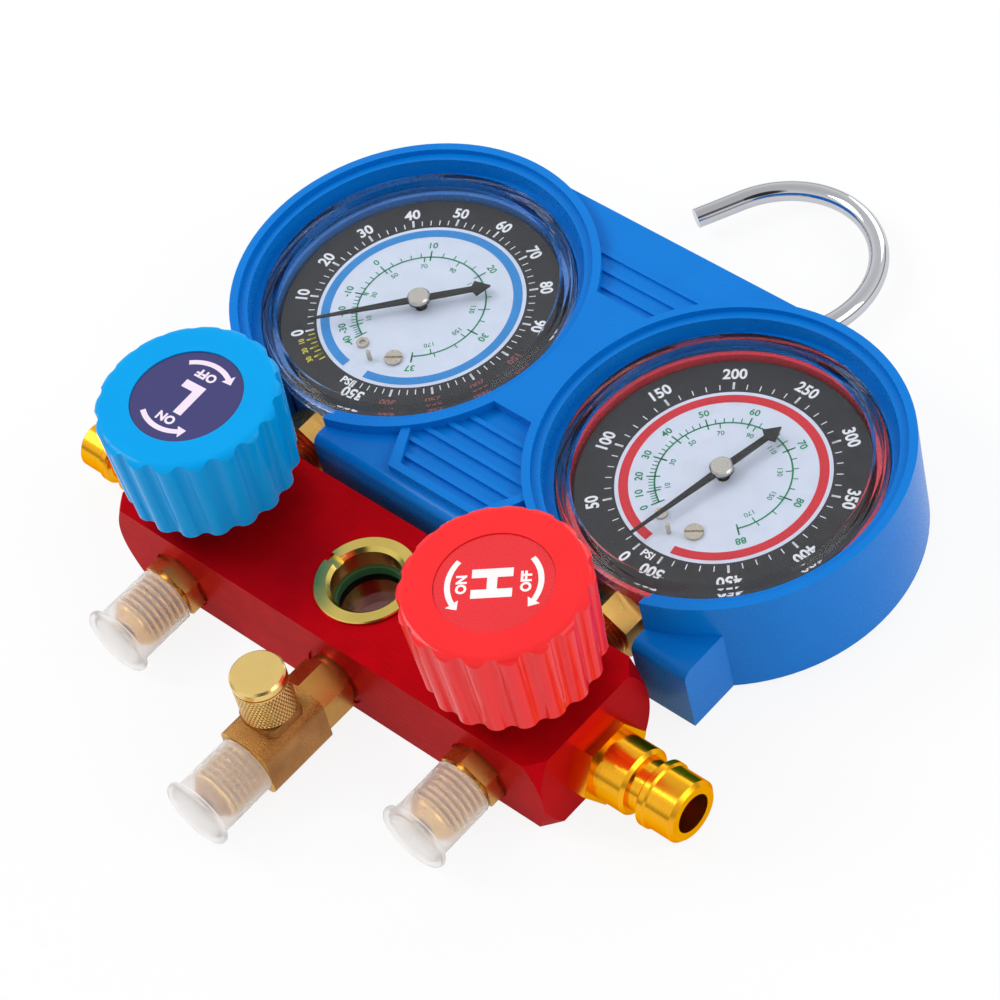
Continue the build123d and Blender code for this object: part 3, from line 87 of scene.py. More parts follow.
class Side(Enum):
    """The two sides of the manifold."""

    LOW = "low"
    HIGH = "high"

    @property
    def sign(self) -> int:
        """-1 for the low side, at -X, and 1 for the high side."""
        return -1 if self is Side.LOW else 1


class Along(Enum):
    """The axis about which a turned piece was made."""

    X = (0.0, -math.pi / 2, 0.0)
    Y = (math.pi / 2, 0.0, 0.0)
    Z = (0.0, 0.0, 0.0)


# ---- mesh tools ------------------------------------------------------------------------------------
class Bench:
    """Short calls around the modelling operators."""

    @staticmethod
    def clear() -> None:
        """Leave nothing selected and no object in edit mode."""
        if bpy.context.object is not None and bpy.context.object.mode != "OBJECT":
            bpy.ops.object.mode_set(mode="OBJECT")
        bpy.ops.object.select_all(action="DESELECT")

    @staticmethod
    def only(piece: Piece) -> None:
        """Select one object and make it active.

        Args:
            piece: The object.
        """
        Bench.clear()
        piece.select_set(True)
        bpy.context.view_layer.objects.active = piece

    @staticmethod
    def settle(piece: Piece) -> Piece:
        """Put a piece's place into its mesh, so that its object sits at the origin.

        Args:
            piece: The mesh object.

        Returns:
            The same object.
        """
        Bench.only(piece)
        bpy.ops.object.transform_apply(location=True, rotation=True, scale=True)
        return piece

    @staticmethod
    def join(pieces: list[Piece], name: str) -> Piece:
        """Join finished meshes into one piece.

        Args:
            pieces: The meshes, the first of which is kept.
            name: The joined piece's name.

        Returns:
            The joined piece.
        """
        Bench.clear()
        for piece in pieces:
            piece.select_set(True)
        bpy.context.view_layer.objects.active = pieces[0]
        if len(pieces) > 1:
            bpy.ops.object.join()
        pieces[0].name = name
        pieces[0].data.name = name
        return pieces[0]

    @staticmethod
    def strip(place: Point, angle: float, length: float, width: float) -> Piece:
        """Lay one flat rectangle.

        Args:
            place: Its middle in mm.
            angle: The angle in degrees of its long side.
            length: Its length in mm.
            width: Its width in mm.

        Returns:
            The rectangle, with its object at the origin.
        """
        Bench.clear()
        turn = (0, 0, math.radians(angle))
        bpy.ops.mesh.primitive_plane_add(size=MM, location=Vector(place) * MM, rotation=turn)
        bpy.context.object.scale = (length, width, 1)
        return Bench.settle(bpy.context.object)

    @staticmethod
    def spin(patch: Piece, center: Spot, angle: float, steps: int, copies: bool) -> None:
        """Spin a rectangle about an upright axis, as copies or as one swept band.

        Args:
            patch: The rectangle.
            center: The axis in mm.
            angle: The whole turn in degrees, counter-clockwise.
            steps: The number of steps.
            copies: True for separate copies, False to sweep its leading edge.
        """
        Bench.only(patch)
        bpy.ops.object.mode_set(mode="EDIT")
        bpy.ops.mesh.select_all(action="SELECT" if copies else "DESELECT")
        bpy.ops.object.mode_set(mode="OBJECT")
        if not copies:
            for corner in patch.data.vertices:
                corner.select = corner.index in (2, 3)
            for edge in patch.data.edges:
                edge.select = set(edge.vertices) == {2, 3}
        bpy.ops.object.mode_set(mode="EDIT")
        bpy.ops.mesh.spin(
            steps=steps,
            dupli=copies,
            angle=-math.radians(angle),
            center=(center[0] * MM, center[1] * MM, 0),
            axis=(0, 0, 1),
        )
        bpy.ops.mesh.select_all(action="SELECT")
        bpy.ops.mesh.normals_make_consistent(inside=False)
        if sum(face.normal.z for face in patch.data.polygons) < 0:
            bpy.ops.mesh.flip_normals()
        bpy.ops.object.mode_set(mode="OBJECT")


@dataclass(frozen=True)
class Printer:
    """Prints thin flat marks round one centre, slightly above a face."""

    center: Spot
    height: float
    edge_width: float = 0.02
    band_step: float = 3.0
    head_spread: float = 2.6

    def at(self, radius: float, angle: float) -> Spot:
        """Point in mm at a radius and an angle in degrees."""
        turn = math.radians(angle)
        return (self.center[0] + radius * math.cos(turn), self.center[1] + radius * math.sin(turn))

    def tick(self, inner: float, outer: float, width: float, angle: float) -> Piece:
        """Print one radial line.

        Args:
            inner: Its inner radius in mm.
            outer: Its outer radius in mm.
            width: Its width in mm.
            angle: Its angle in degrees.

        Returns:
            The line.
        """
        x, y = self.at((inner + outer) / 2, angle)
        return Bench.strip((x, y, self.height), angle, outer - inner, width)

    def ticks(
        self, inner: float, outer: float, width: float, first: float, last: float, count: int
    ) -> Piece:
        """Print evenly spaced radial lines.

        Args:
            inner: Their inner radius in mm.
            outer: Their outer radius in mm.
            width: Their width in mm.
            first: The angle of the first, in degrees.
            last: The angle of the last, in degrees.
            count: How many lines there are.

        Returns:
            The lines as one mesh.
        """
        line = self.tick(inner, outer, width, first)
        if count > 1:
            Bench.spin(line, self.center, last - first, count - 1, True)
        return line

    def band(self, inner: float, outer: float, first: float, last: float) -> Piece:
        """Print a curved band.

        Args:
            inner: Its inner radius in mm.
            outer: Its outer radius in mm.
            first: The angle in degrees where it starts.
            last: The angle in degrees where it ends, counter-clockwise.

        Returns:
            The band.
        """
        patch = self.tick(inner, outer, self.edge_width, first)
        Bench.spin(patch, self.center, last - first, max(2, round((last - first) / self.band_step)), False)
        return patch

    def words(
        self,
        text: str,
        radius: float,
        angle: float,
        size: float,
        bold: float = 0.0,
        outward: bool = True,
        squeeze: float = 1.0,
    ) -> Piece:
        """Print a short text, upright along the radius.

        Args:
            text: What it says.
            radius: The radius in mm of its middle.
            angle: The angle in degrees of its middle.
            size: Its letter size in mm.
            bold: How much each stroke is thickened, in mm.
            outward: True where its top points outwards.
            squeeze: Its width, as a share of the normal one.

        Returns:
            The text as a flat mesh.
        """
        Bench.clear()
        x, y = self.at(radius, angle)
        turn = math.radians(angle - 90 if outward else angle + 90)
        bpy.ops.object.text_add(location=(x * MM, y * MM, self.height * MM), rotation=(0, 0, turn))
        piece = bpy.context.object
        piece.data.body = text
        piece.data.size = size * MM
        piece.data.offset = bold * MM
        piece.data.resolution_u = 3
        piece.data.align_x = "CENTER"
        piece.data.align_y = "CENTER"
        piece.scale = (squeeze, 1, 1)
        bpy.ops.object.convert(target="MESH")
        return Bench.settle(bpy.context.object)

    def arrow(self, radius: float, first: float, last: float, width: float, head: float) -> Piece:
        """Print a curved arrow whose head is at its last angle.

        Args:
            radius: The radius in mm of its middle line.
            first: The angle in degrees of its tail.
            last: The angle in degrees where the head starts; it may be below first.
            width: The shaft's width in mm.
            head: The head's length in mm.

        Returns:
            The arrow.
        """
        shaft = self.band(radius - width / 2, radius + width / 2, min(first, last), max(first, last))
        way = 1 if last > first else -1
        x, y = self.at(radius, last + way * math.degrees(head / 3 / radius))
        turn = math.radians(last + way * math.degrees(head / 2 / radius)) + (0 if way > 0 else math.pi)
        bpy.ops.mesh.primitive_circle_add(
            vertices=3,
            radius=MM,
            fill_type="NGON",
            location=(x * MM, y * MM, self.height * MM),
            rotation=(0, 0, turn),
        )
        point = bpy.context.object
        point.scale = (width * self.head_spread / math.sqrt(3), head / 1.5, 1)
        return Bench.join([shaft, Bench.settle(point)], "arrow")


# ---- material tools --------------------------------------------------------------------------------
class Graph:
    """A material's node tree, with short calls to place and join its nodes."""

    def __init__(self, tree: bpy.types.NodeTree) -> None:
        """Keep the tree that nodes are added to."""
        self.tree = tree

    def node(self, kind: str, **settings: object) -> bpy.types.Node:
        """Add a node and set its plain properties.

        Args:
            kind: The node's type.
            **settings: Its properties and their values.

        Returns:
            The node.
        """
        made = self.tree.nodes.new(kind)
        for name, value in settings.items():
            setattr(made, name, value)
        return made

    def feed(self, socket: Socket, value: object) -> None:
        """Link a socket to an input, or set the input's own value.

        Args:
            socket: The input.
            value: The socket to link, or the value.
        """
        if isinstance(value, Socket):
            self.tree.links.new(value, socket)
        else:
            socket.default_value = value

    def math(self, operation: str, *values: object) -> Socket:
        """Add a Math node.

        Args:
            operation: The node's operation.
            values: Numbers or sockets for its inputs.

        Returns:
            Its output.
        """
        made = self.node("ShaderNodeMath", operation=operation)
        for index, value in enumerate(values):
            self.feed(made.inputs[index], value)
        return made.outputs[0]

    def times(self, first: object, second: object) -> Socket:
        """Multiply two numbers or sockets."""
        return self.math("MULTIPLY", first, second)

    def blend(self, factor: object, first: object, second: object) -> Socket:
        """Mix two colors.

        Args:
            factor: The second color's share.
            first: The first color.
            second: The second color.

        Returns:
            The mixed color.
        """
        made = self.node("ShaderNodeMix", data_type="RGBA")
        self.feed(made.inputs[0], factor)
        self.feed(made.inputs[6], first)
        self.feed(made.inputs[7], second)
        return made.outputs[2]

    def ramp(self, value: object, low: float, high: float, to_low: float, to_high: float) -> Socket:
        """Map a value from one range to another, held at both ends.

        Args:
            value: The value.
            low: The start of its range.
            high: The end of its range.
            to_low: What the start becomes.
            to_high: What the end becomes.

        Returns:
            The mapped value.
        """
        made = self.node("ShaderNodeMapRange")
        for index, entry in enumerate((value, low, high, to_low, to_high)):
            self.feed(made.inputs[index], entry)
        return made.outputs[0]

    def place(self, center: Point = (0, 0, 0), along: Along = Along.Z) -> Socket:
        """Give the object's own coordinates in mm about a centre, with one axis turned to Z.

        Args:
            center: The centre in mm.
            along: The axis that becomes Z.

        Returns:
            The vector's socket.
        """
        coordinates = self.node("ShaderNodeTexCoord")
        mapping = self.node("ShaderNodeMapping")
        turn = Euler(along.value).to_matrix()
        mapping.inputs["Location"].default_value = -(turn @ Vector(center))
        mapping.inputs["Rotation"].default_value = along.value
        mapping.inputs["Scale"].default_value = (1 / MM, 1 / MM, 1 / MM)
        self.feed(mapping.inputs["Vector"], coordinates.outputs["Object"])
        return mapping.outputs["Vector"]

    def effect(self, name: str, **values: object) -> bpy.types.Node:
        """Place a shared effect with its own values.

        Args:
            name: The effect's name.
            **values: Its inputs and their values.

        Returns:
            Its node.
        """
        made = self.node("ShaderNodeGroup", node_tree=Effects.get(name))
        for key, value in values.items():
            self.feed(made.inputs[key.replace("_", " ").title()], value)
        return made

    def grain(self, place: Socket, scale: float) -> tuple[Socket, Socket]:
        """Place the grain and return its small height and its broad mottle."""
        made = self.effect("grain", vector=place, scale=scale)
        return made.outputs["Height"], made.outputs["Mottle"]

    def cover(
        self, shader: bpy.types.Node, color: Socket, rough: Socket, normal: Socket | None = None
    ) -> None:
        """Feed a shader its color and roughness, and its normal where it has one.

        Args:
            shader: The material's shader.
            color: Its color.
            rough: Its roughness.
            normal: Its normal.
        """
        self.feed(shader.inputs["Base Color"], color)
        self.feed(shader.inputs["Roughness"], rough)
        if normal is not None:
            self.feed(shader.inputs["Normal"], normal)

    def crossed(self, place: Socket, pitch: float, starts: float) -> Socket:
        """Cross two helices into a diamond knurl from 0 to 1.

        Args:
            place: The vector about the knurl's axis.
            pitch: The height in mm of one ridge.
            starts: The number of ridges round the axis.

        Returns:
            The knurl's height.
        """
        up = self.effect("helix", vector=place, pitch=pitch, starts=starts)
        down = self.effect("helix", vector=place, pitch=pitch, starts=-starts)
        return self.times(self.math("MINIMUM", up.outputs["Height"], down.outputs["Height"]), 2.0)

    def zone(
        self,
        place: Socket,
        inner: float = -1.0,
        outer: float = ENDLESS,
        floor: float = -ENDLESS,
        roof: float = ENDLESS,
    ) -> Socket:
        """Mask what lies between two distances from Z and between two heights.

        Args:
            place: The vector about the axis.
            inner: The smaller distance in mm, below 0 to take in the axis.
            outer: The larger distance in mm.
            floor: The lower height in mm.
            roof: The upper height in mm.

        Returns:
            The mask, 1 inside.
        """
        made = self.effect("zone", vector=place, inner=inner, outer=outer, floor=floor, roof=roof)
        return made.outputs["Mask"]

    def split(self, vector: Socket) -> tuple[Socket, Socket, Socket]:
        """Take a vector apart.

        Args:
            vector: The vector.

        Returns:
            Its three parts.
        """
        made = self.node("ShaderNodeSeparateXYZ")
        self.feed(made.inputs[0], vector)
        return made.outputs[0], made.outputs[1], made.outputs[2]

    def reach(self, x: Socket, y: Socket) -> Socket:
        """Give the distance from the Z axis."""
        return self.math("SQRT", self.math("ADD", self.math("POWER", x, 2.0), self.math("POWER", y, 2.0)))

    def bump(self, height: object, distance: float, strength: float = 1.0, under: object = None) -> Socket:
        """Turn a height from 0 to 1 into a normal.

        Args:
            height: The height.
            distance: How many mm the height stands for.
            strength: How strongly it shows.
            under: A normal that it is laid over.

        Returns:
            The normal's socket.
        """
        made = self.node("ShaderNodeBump")
        made.inputs["Strength"].default_value = strength
        made.inputs["Distance"].default_value = distance * MM
        self.feed(made.inputs["Height"], height)
        if under is not None:
            self.feed(made.inputs["Normal"], under)
        return made.outputs["Normal"]


class Effects:
    """Effects that several finishes share, each built once as a node group."""

    made: dict[str, bpy.types.NodeTree] = {}

    @classmethod
    def get(cls, name: str) -> bpy.types.NodeTree:
        """Find a shared effect, built at its first use.

        Args:
            name: The effect's name.

        Returns:
            Its group.
        """
        if name not in cls.made:
            cls.made[name] = getattr(cls, f"build_{name}")()
        return cls.made[name]

    @staticmethod
    def start(
        name: str, inputs: dict[str, object], outputs: list[str]
    ) -> tuple[Graph, bpy.types.Node, bpy.types.Node]:
        """Begin a group with named sockets.

        Args:
            name: The group's name.
            inputs: Each input's name and default; a tuple makes a vector.
            outputs: The names of its number outputs.

        Returns:
            Its graph, its input node and its output node.
        """
        tree = bpy.data.node_groups.new(name, "ShaderNodeTree")
        for key, value in inputs.items():
            kind = "NodeSocketVector" if isinstance(value, tuple) else "NodeSocketFloat"
            socket = tree.interface.new_socket(name=key, in_out="INPUT", socket_type=kind)
            if kind == "NodeSocketFloat":
                socket.default_value = value
        for key in outputs:
            tree.interface.new_socket(name=key, in_out="OUTPUT", socket_type="NodeSocketFloat")
        graph = Graph(tree)
        return graph, graph.node("NodeGroupInput"), graph.node("NodeGroupOutput")

    @classmethod
    def build_grain(cls) -> bpy.types.NodeTree:
        """Fine uneven grain: a small height and a broad mottle.

        Returns:
            The group.
        """
        values = {"Vector": (0, 0, 0), "Scale": 4.0, "Detail": 3.0}
        graph, given, out = cls.start("grain", values, ["Height", "Mottle"])
        fine = graph.node("ShaderNodeTexNoise")
        graph.feed(fine.inputs["Vector"], given.outputs["Vector"])
        graph.feed(fine.inputs["Scale"], given.outputs["Scale"])
        graph.feed(fine.inputs["Detail"], given.outputs["Detail"])
        broad = graph.node("ShaderNodeTexNoise")
        graph.feed(broad.inputs["Vector"], given.outputs["Vector"])
        graph.feed(broad.inputs["Scale"], graph.times(given.outputs["Scale"], 0.04))
        graph.feed(out.inputs["Height"], fine.outputs["Fac"])
        graph.feed(out.inputs["Mottle"], graph.ramp(broad.outputs["Fac"], 0.3, 0.7, 0.0, 1.0))
        return graph.tree

    @classmethod
    def build_brushing(cls) -> bpy.types.NodeTree:
        """Long fine lines along X, as a belt or a mill leaves them.

        Returns:
            The group.
        """
        graph, given, out = cls.start("brushing", {"Vector": (0, 0, 0), "Fineness": 6.0}, ["Height"])
        stretch = graph.node("ShaderNodeVectorMath", operation="MULTIPLY")
        graph.feed(stretch.inputs[0], given.outputs["Vector"])
        stretch.inputs[1].default_value = (0.03, 1.0, 1.0)
        noise = graph.node("ShaderNodeTexNoise")
        noise.inputs["Detail"].default_value = 4.0
        graph.feed(noise.inputs["Vector"], stretch.outputs[0])
        graph.feed(noise.inputs["Scale"], given.outputs["Fineness"])
        graph.feed(out.inputs["Height"], noise.outputs["Fac"])
        return graph.tree

    @classmethod
    def build_turning(cls) -> bpy.types.NodeTree:
        """Fine rings that a lathe tool leaves, along Z and across an end face.

        Returns:
            The group.
        """
        graph, given, out = cls.start("turning", {"Vector": (0, 0, 0), "Pitch": 0.25}, ["Height"])
        x, y, z = graph.split(given.outputs["Vector"])
        path = graph.math("ADD", graph.reach(x, y), z)
        noise = graph.node("ShaderNodeTexNoise", noise_dimensions="1D")
        noise.inputs["Detail"].default_value = 2.0
        noise.inputs["Scale"].default_value = 1.0
        graph.feed(noise.inputs["W"], graph.math("DIVIDE", path, given.outputs["Pitch"]))
        graph.feed(out.inputs["Height"], noise.outputs["Fac"])
        return graph.tree

    @classmethod
    def build_helix(cls) -> bpy.types.NodeTree:
        """Ridges that climb about Z: one start is a thread, many starts are one half of a knurl.

        Returns:
            The group.
        """
        values = {"Vector": (0, 0, 0), "Pitch": 1.0, "Starts": 1.0}
        graph, given, out = cls.start("helix", values, ["Height"])
        x, y, z = graph.split(given.outputs["Vector"])
        around = graph.math("DIVIDE", graph.math("ARCTAN2", y, x), 2 * math.pi)
        rise = graph.math("DIVIDE", z, given.outputs["Pitch"])
        climb = graph.math("ADD", rise, graph.times(around, given.outputs["Starts"]))
        graph.feed(out.inputs["Height"], graph.math("PINGPONG", climb, 0.5))
        return graph.tree

    @classmethod
    def build_zone(cls) -> bpy.types.NodeTree:
        """Mask of a stretch between two distances from Z and between two heights.

        Returns:
            The group.
        """
        values = {"Vector": (0, 0, 0), "Inner": 0.0, "Outer": 1.0, "Floor": -ENDLESS, "Roof": ENDLESS}
        graph, given, out = cls.start("zone", values, ["Mask"])
        x, y, z = graph.split(given.outputs["Vector"])
        flat = graph.reach(x, y)
        inside = graph.times(
            graph.math("GREATER_THAN", flat, given.outputs["Inner"]),
            graph.math("LESS_THAN", flat, given.outputs["Outer"]),
        )
        between = graph.times(
            graph.math("GREATER_THAN", z, given.outputs["Floor"]),
            graph.math("LESS_THAN", z, given.outputs["Roof"]),
        )
        graph.feed(out.inputs["Mask"], graph.times(inside, between))
        return graph.tree


class Finish:
    """A finish that can be put on several pieces. A kind of finish builds its nodes in dress()."""

    def make(self, name: str) -> bpy.types.Material:
        """Build the material under a name.

        Args:
            name: The material's name.

        Returns:
            The material.
        """
        material = bpy.data.materials.new(name)
        material.use_nodes = True
        graph = Graph(material.node_tree)
        shader = material.node_tree.nodes["Principled BSDF"]
        self.dress(graph, shader)
        return material

    def dress(self, graph: Graph, shader: bpy.types.Node) -> None:
        """Set the shader's values and join its nodes.

        Args:
            graph: The material's graph.
            shader: The material's shader.
        """
        raise NotImplementedError


@dataclass(frozen=True)
class Anodised(Finish):
    """Dyed anodised aluminium with brushed or turned lines."""

    color: Color
    deep: Color
    roughness: float = 0.3
    metallic: float = 1.0
    center: Point = (0, 0, 0)
    along: Along = Along.Z
    turned: bool = False
    lines: float = 0.01

    def dress(self, graph: Graph, shader: bpy.types.Node) -> None:
        """Dye, lines and slight unevenness.

        Args:
            graph: The material's graph.
            shader: The material's shader.
        """
        place = graph.place(self.center, self.along)
        lines = graph.effect("turning" if self.turned else "brushing", vector=place).outputs["Height"]
        height, mottle = graph.grain(place, 3.0)
        shade = graph.times(graph.ramp(lines, 0.35, 0.65, 0.0, 1.0), 0.35)
        mixed = graph.math("ADD", shade, graph.times(mottle, 0.25))
        rough = graph.ramp(lines, 0.3, 0.7, self.roughness - 0.05, self.roughness + 0.07)
        normal = graph.bump(lines, self.lines, 0.6)
        normal = graph.bump(height, self.lines / 3, 0.4, normal)
        graph.cover(shader, graph.blend(mixed, self.color, self.deep), rough, normal)
        shader.inputs["Metallic"].default_value = self.metallic
        shader.inputs["Specular Tint"].default_value = self.color
        shader.inputs["Specular IOR Level"].default_value = 0.1


@dataclass(frozen=True)
class Brass(Finish):
    """Turned or forged brass, with a thread or a knurl on one stretch where it has one."""

    color: Color = srgb(228, 180, 100)
    tarnish: Color = srgb(170, 118, 56)
    # Lighter brass painted on the thread stretch: a painted highlight that stands in for light not reaching
    # the thread through the dust caps.
    bright: Color = srgb(255, 206, 112)
    roughness: float = 0.26
    center: Point = (0, 0, 0)
    along: Along = Along.Z
    thread: Point | None = None
    thread_radius: float = 5.9
    thread_depth: float = 0.55
    knurl: tuple[float, float, int] | None = None
    knurl_pitch: float = 1.7
    knurl_depth: float = 0.4
    forged: bool = False

    def dress(self, graph: Graph, shader: bpy.types.Node) -> None:
        """Brass color, tool marks, thread with a painted highlight, and knurl.

        Args:
            graph: The material's graph.
            shader: The material's shader.
        """
        place = graph.place(self.center, self.along)
        height, mottle = graph.grain(place, 2.6)
        lines = graph.effect("turning", vector=place).outputs["Height"]
        tint = graph.times(mottle, 0.55 if self.forged else 0.35)
        color = graph.blend(tint, self.color, self.tarnish)
        rough = graph.ramp(mottle, 0.0, 1.0, self.roughness - 0.04, self.roughness + 0.1)
        if self.forged:
            normal = graph.bump(height, 0.25, 0.9)
            pits = graph.ramp(height, 0.3, 0.5, 0.5, 0.0)
            color = graph.blend(pits, color, self.tarnish)
        else:
            normal = graph.bump(lines, 0.012, 0.6)
        if self.thread is not None:
            low, high, pitch = self.thread
            mask = graph.zone(place, self.thread_radius, floor=low, roof=high)
            ridge = graph.effect("helix", vector=place, pitch=pitch, starts=1.0)
            crest = graph.times(ridge.outputs["Height"], 2.0)
            normal = graph.bump(graph.times(crest, mask), pitch * self.thread_depth, 1.0, normal)
            # The thread stretch takes the lighter brass as a painted highlight, then tarnish between its
            # ridges.
            color = self.darken(graph, graph.blend(mask, color, self.bright), crest, mask, 0.5)
        if self.knurl is not None:
            low, high, starts = self.knurl
            mask = graph.zone(place, self.thread_radius, floor=low, roof=high)
            cross = graph.crossed(place, self.knurl_pitch, float(starts))
            normal = graph.bump(graph.times(cross, mask), self.knurl_depth, 0.8, normal)
            color = self.darken(graph, color, cross, mask, 0.45)
        graph.cover(shader, color, rough, normal)
        shader.inputs["Metallic"].default_value = 0.9 if self.forged else 1.0

    def darken(self, graph: Graph, color: Socket, ridge: Socket, mask: Socket, share: float) -> Socket:
        """Let tarnish gather between ridges.

        Args:
            graph: The material's graph.
            color: The color so far.
            ridge: The ridges' height from 0 to 1.
            mask: Where the ridges are.
            share: How much tarnish the deepest place takes.

        Returns:
            The color with tarnish.
        """
        groove = graph.times(graph.math("SUBTRACT", 1.0, ridge), mask)
        return graph.blend(graph.times(groove, share), color, self.tarnish)


@dataclass(frozen=True)
class MouldedPlastic(Finish):
    """Opaque moulded plastic with a fine skin texture."""

    color: Color
    deep: Color
    roughness: float = 0.35
    skin: float = 0.01
    coat: float = 0.0
    gloss: float = 0.5

    def dress(self, graph: Graph, shader: bpy.types.Node) -> None:
        """Plastic color, skin texture and slight flow marks.

        Args:
            graph: The material's graph.
            shader: The material's shader.
        """
        height, mottle = graph.grain(graph.place(), 2.2)
        rough = graph.ramp(height, 0.3, 0.7, self.roughness - 0.04, self.roughness + 0.05)
        color = graph.blend(graph.times(mottle, 0.3), self.color, self.deep)
        graph.cover(shader, color, rough, graph.bump(height, self.skin, 0.5))
        shader.inputs["Coat Weight"].default_value = self.coat
        shader.inputs["Coat Roughness"].default_value = 0.08
        shader.inputs["Specular IOR Level"].default_value = self.gloss
        shader.inputs["Subsurface Weight"].default_value = 0.04
        shader.inputs["Subsurface Radius"].default_value = (0.001, 0.001, 0.001)


@dataclass(frozen=True)
class ClearPlastic(Finish):
    """Clear or milky plastic, with a diamond knurl on one band where it has one."""

    color: Color = (0.96, 0.97, 0.98, 1.0)
    roughness: float = 0.02
    transmission: float = 1.0
    center: Point = (0, 0, 0)
    knurl: Point | None = None
    knurl_pitch: float = 14.0
    knurl_starts: float = 150.0
    cloud: float = 0.0
    bend: float = 1.45

    def dress(self, graph: Graph, shader: bpy.types.Node) -> None:
        """Clear body, faint waviness and the knurl.

        Args:
            graph: The material's graph.
            shader: The material's shader.
        """
        place = graph.place(self.center)
        height, mottle = graph.grain(place, 0.6)
        normal = graph.bump(height, 0.01 + self.cloud * 0.05, 0.3)
        if self.knurl is not None:
            inner, low, high = self.knurl
            mask = graph.zone(place, inner, floor=low, roof=high)
            back = graph.node("ShaderNodeNewGeometry").outputs["Backfacing"]
            cross = graph.crossed(place, self.knurl_pitch, self.knurl_starts)
            cross = graph.times(cross, graph.math("SUBTRACT", 1.0, back))
            normal = graph.bump(graph.times(cross, mask), 0.2, 0.2, normal)
        red, green, blue, opaque = self.color
        clouded = (red * 0.9, green * 0.92, blue * 0.93, opaque)
        color = graph.blend(graph.times(mottle, 0.1 + self.cloud), self.color, clouded)
        rough = graph.ramp(mottle, 0.0, 1.0, self.roughness, self.roughness * 1.3 + 0.005)
        graph.cover(shader, color, rough, normal)
        shader.inputs["Transmission Weight"].default_value = self.transmission
        shader.inputs["IOR"].default_value = self.bend


@dataclass(frozen=True)
class PlatedSteel(Finish):
    """Polished or plated steel with faint marks."""

    color: Color = srgb(214, 214, 216)
    roughness: float = 0.12
    marks: float = 0.004
    dull: Color = srgb(170, 172, 178)

    def dress(self, graph: Graph, shader: bpy.types.Node) -> None:
        """Mirror metal with a little unevenness.

        Args:
            graph: The material's graph.
            shader: The material's shader.
        """
        height, mottle = graph.grain(graph.place(), 1.2)
        color = graph.blend(graph.times(mottle, 0.2), self.color, self.dull)
        rough = graph.ramp(height, 0.3, 0.7, self.roughness * 0.6, self.roughness * 1.4)
        graph.cover(shader, color, rough, graph.bump(height, self.marks, 0.4))
        shader.inputs["Metallic"].default_value = 1.0


@dataclass(frozen=True)
class Print(Finish):
    """Flat printing ink."""

    color: Color
    roughness: float = 0.45
    thin_cover: float = 0.86

    def dress(self, graph: Graph, shader: bpy.types.Node) -> None:
        """Ink color with slightly uneven cover.

        Args:
            graph: The material's graph.
            shader: The material's shader.
        """
        height, mottle = graph.grain(graph.place(), 5.0)
        thin = tuple(share * self.thin_cover for share in self.color[:3]) + (1.0,)
        color = graph.blend(graph.times(mottle, 0.5), self.color, thin)
        rough = graph.ramp(height, 0.3, 0.7, self.roughness, self.roughness + 0.1)
        graph.cover(shader, color, rough)


@dataclass(frozen=True)
class DialFace(Finish):
    """Dial plate: black outer ring and pale middle."""

    center: Point
    edge: float
    pale: Color = srgb(214, 222, 238)
    pale_mottle: Color = srgb(200, 210, 230)
    dark: Color = srgb(30, 30, 34)
    dark_mottle: Color = srgb(42, 42, 48)

    def dress(self, graph: Graph, shader: bpy.types.Node) -> None:
        """Two printed zones with fine speckle.

        Args:
            graph: The material's graph.
            shader: The material's shader.
        """
        place = graph.place(self.center)
        mask = graph.zone(place, outer=self.edge)
        height, mottle = graph.grain(place, 6.0)
        pale = graph.blend(graph.times(mottle, 0.4), self.pale, self.pale_mottle)
        dark = graph.blend(graph.times(mottle, 0.5), self.dark, self.dark_mottle)
        rough = graph.ramp(height, 0.3, 0.7, 0.5, 0.53)
        graph.cover(shader, graph.blend(mask, dark, pale), rough, graph.bump(height, 0.002, 0.1))


@dataclass(frozen=True)
class PointerFinish(Finish):
    """Black pointer with a bright hub."""

    center: Point
    hub_radius: float = 2.85
    hub_floor: float = 23.55
    hub_color: Color = srgb(226, 222, 214)
    hub_shade: Color = srgb(150, 146, 140)
    paint: Color = srgb(14, 14, 15)
    worn_paint: Color = srgb(26, 26, 28)

    def dress(self, graph: Graph, shader: bpy.types.Node) -> None:
        """Black paint on the blade and turned metal on the hub.

        Args:
            graph: The material's graph.
            shader: The material's shader.
        """
        place = graph.place(self.center)
        mask = graph.zone(place, outer=self.hub_radius, floor=self.hub_floor)
        lines = graph.effect("turning", vector=place, pitch=0.2).outputs["Height"]
        mottle = graph.grain(place, 5.0)[1]
        bright = graph.blend(lines, self.hub_color, self.hub_shade)
        dark = graph.blend(mottle, self.paint, self.worn_paint)
        rough = graph.ramp(mask, 0.0, 1.0, 0.4, 0.25)
        graph.cover(shader, graph.blend(mask, dark, bright), rough, graph.bump(lines, 0.008, 0.5))
        graph.feed(shader.inputs["Metallic"], mask)


def coat(node: str, material: bpy.types.Material) -> None:
    """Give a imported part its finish.

    Args:
        node: The part's name.
        material: Its finish.
    """
    mesh = bpy.data.objects[node].data
    mesh.materials.clear()
    mesh.materials.append(material)


def finish_piece(piece: Piece, name: str, material: bpy.types.Material, body: str) -> None:
    """Name a new piece, give it its finish and let it ride on its body.

    Args:
        piece: The piece.
        name: Its name.
        material: Its finish.
        body: The body that it moves with.
    """
    piece.name = name
    piece.data.name = name
    piece.data.materials.clear()
    piece.data.materials.append(material)
    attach(piece, body)
    log.info("piece %s rides on %s", name, body)


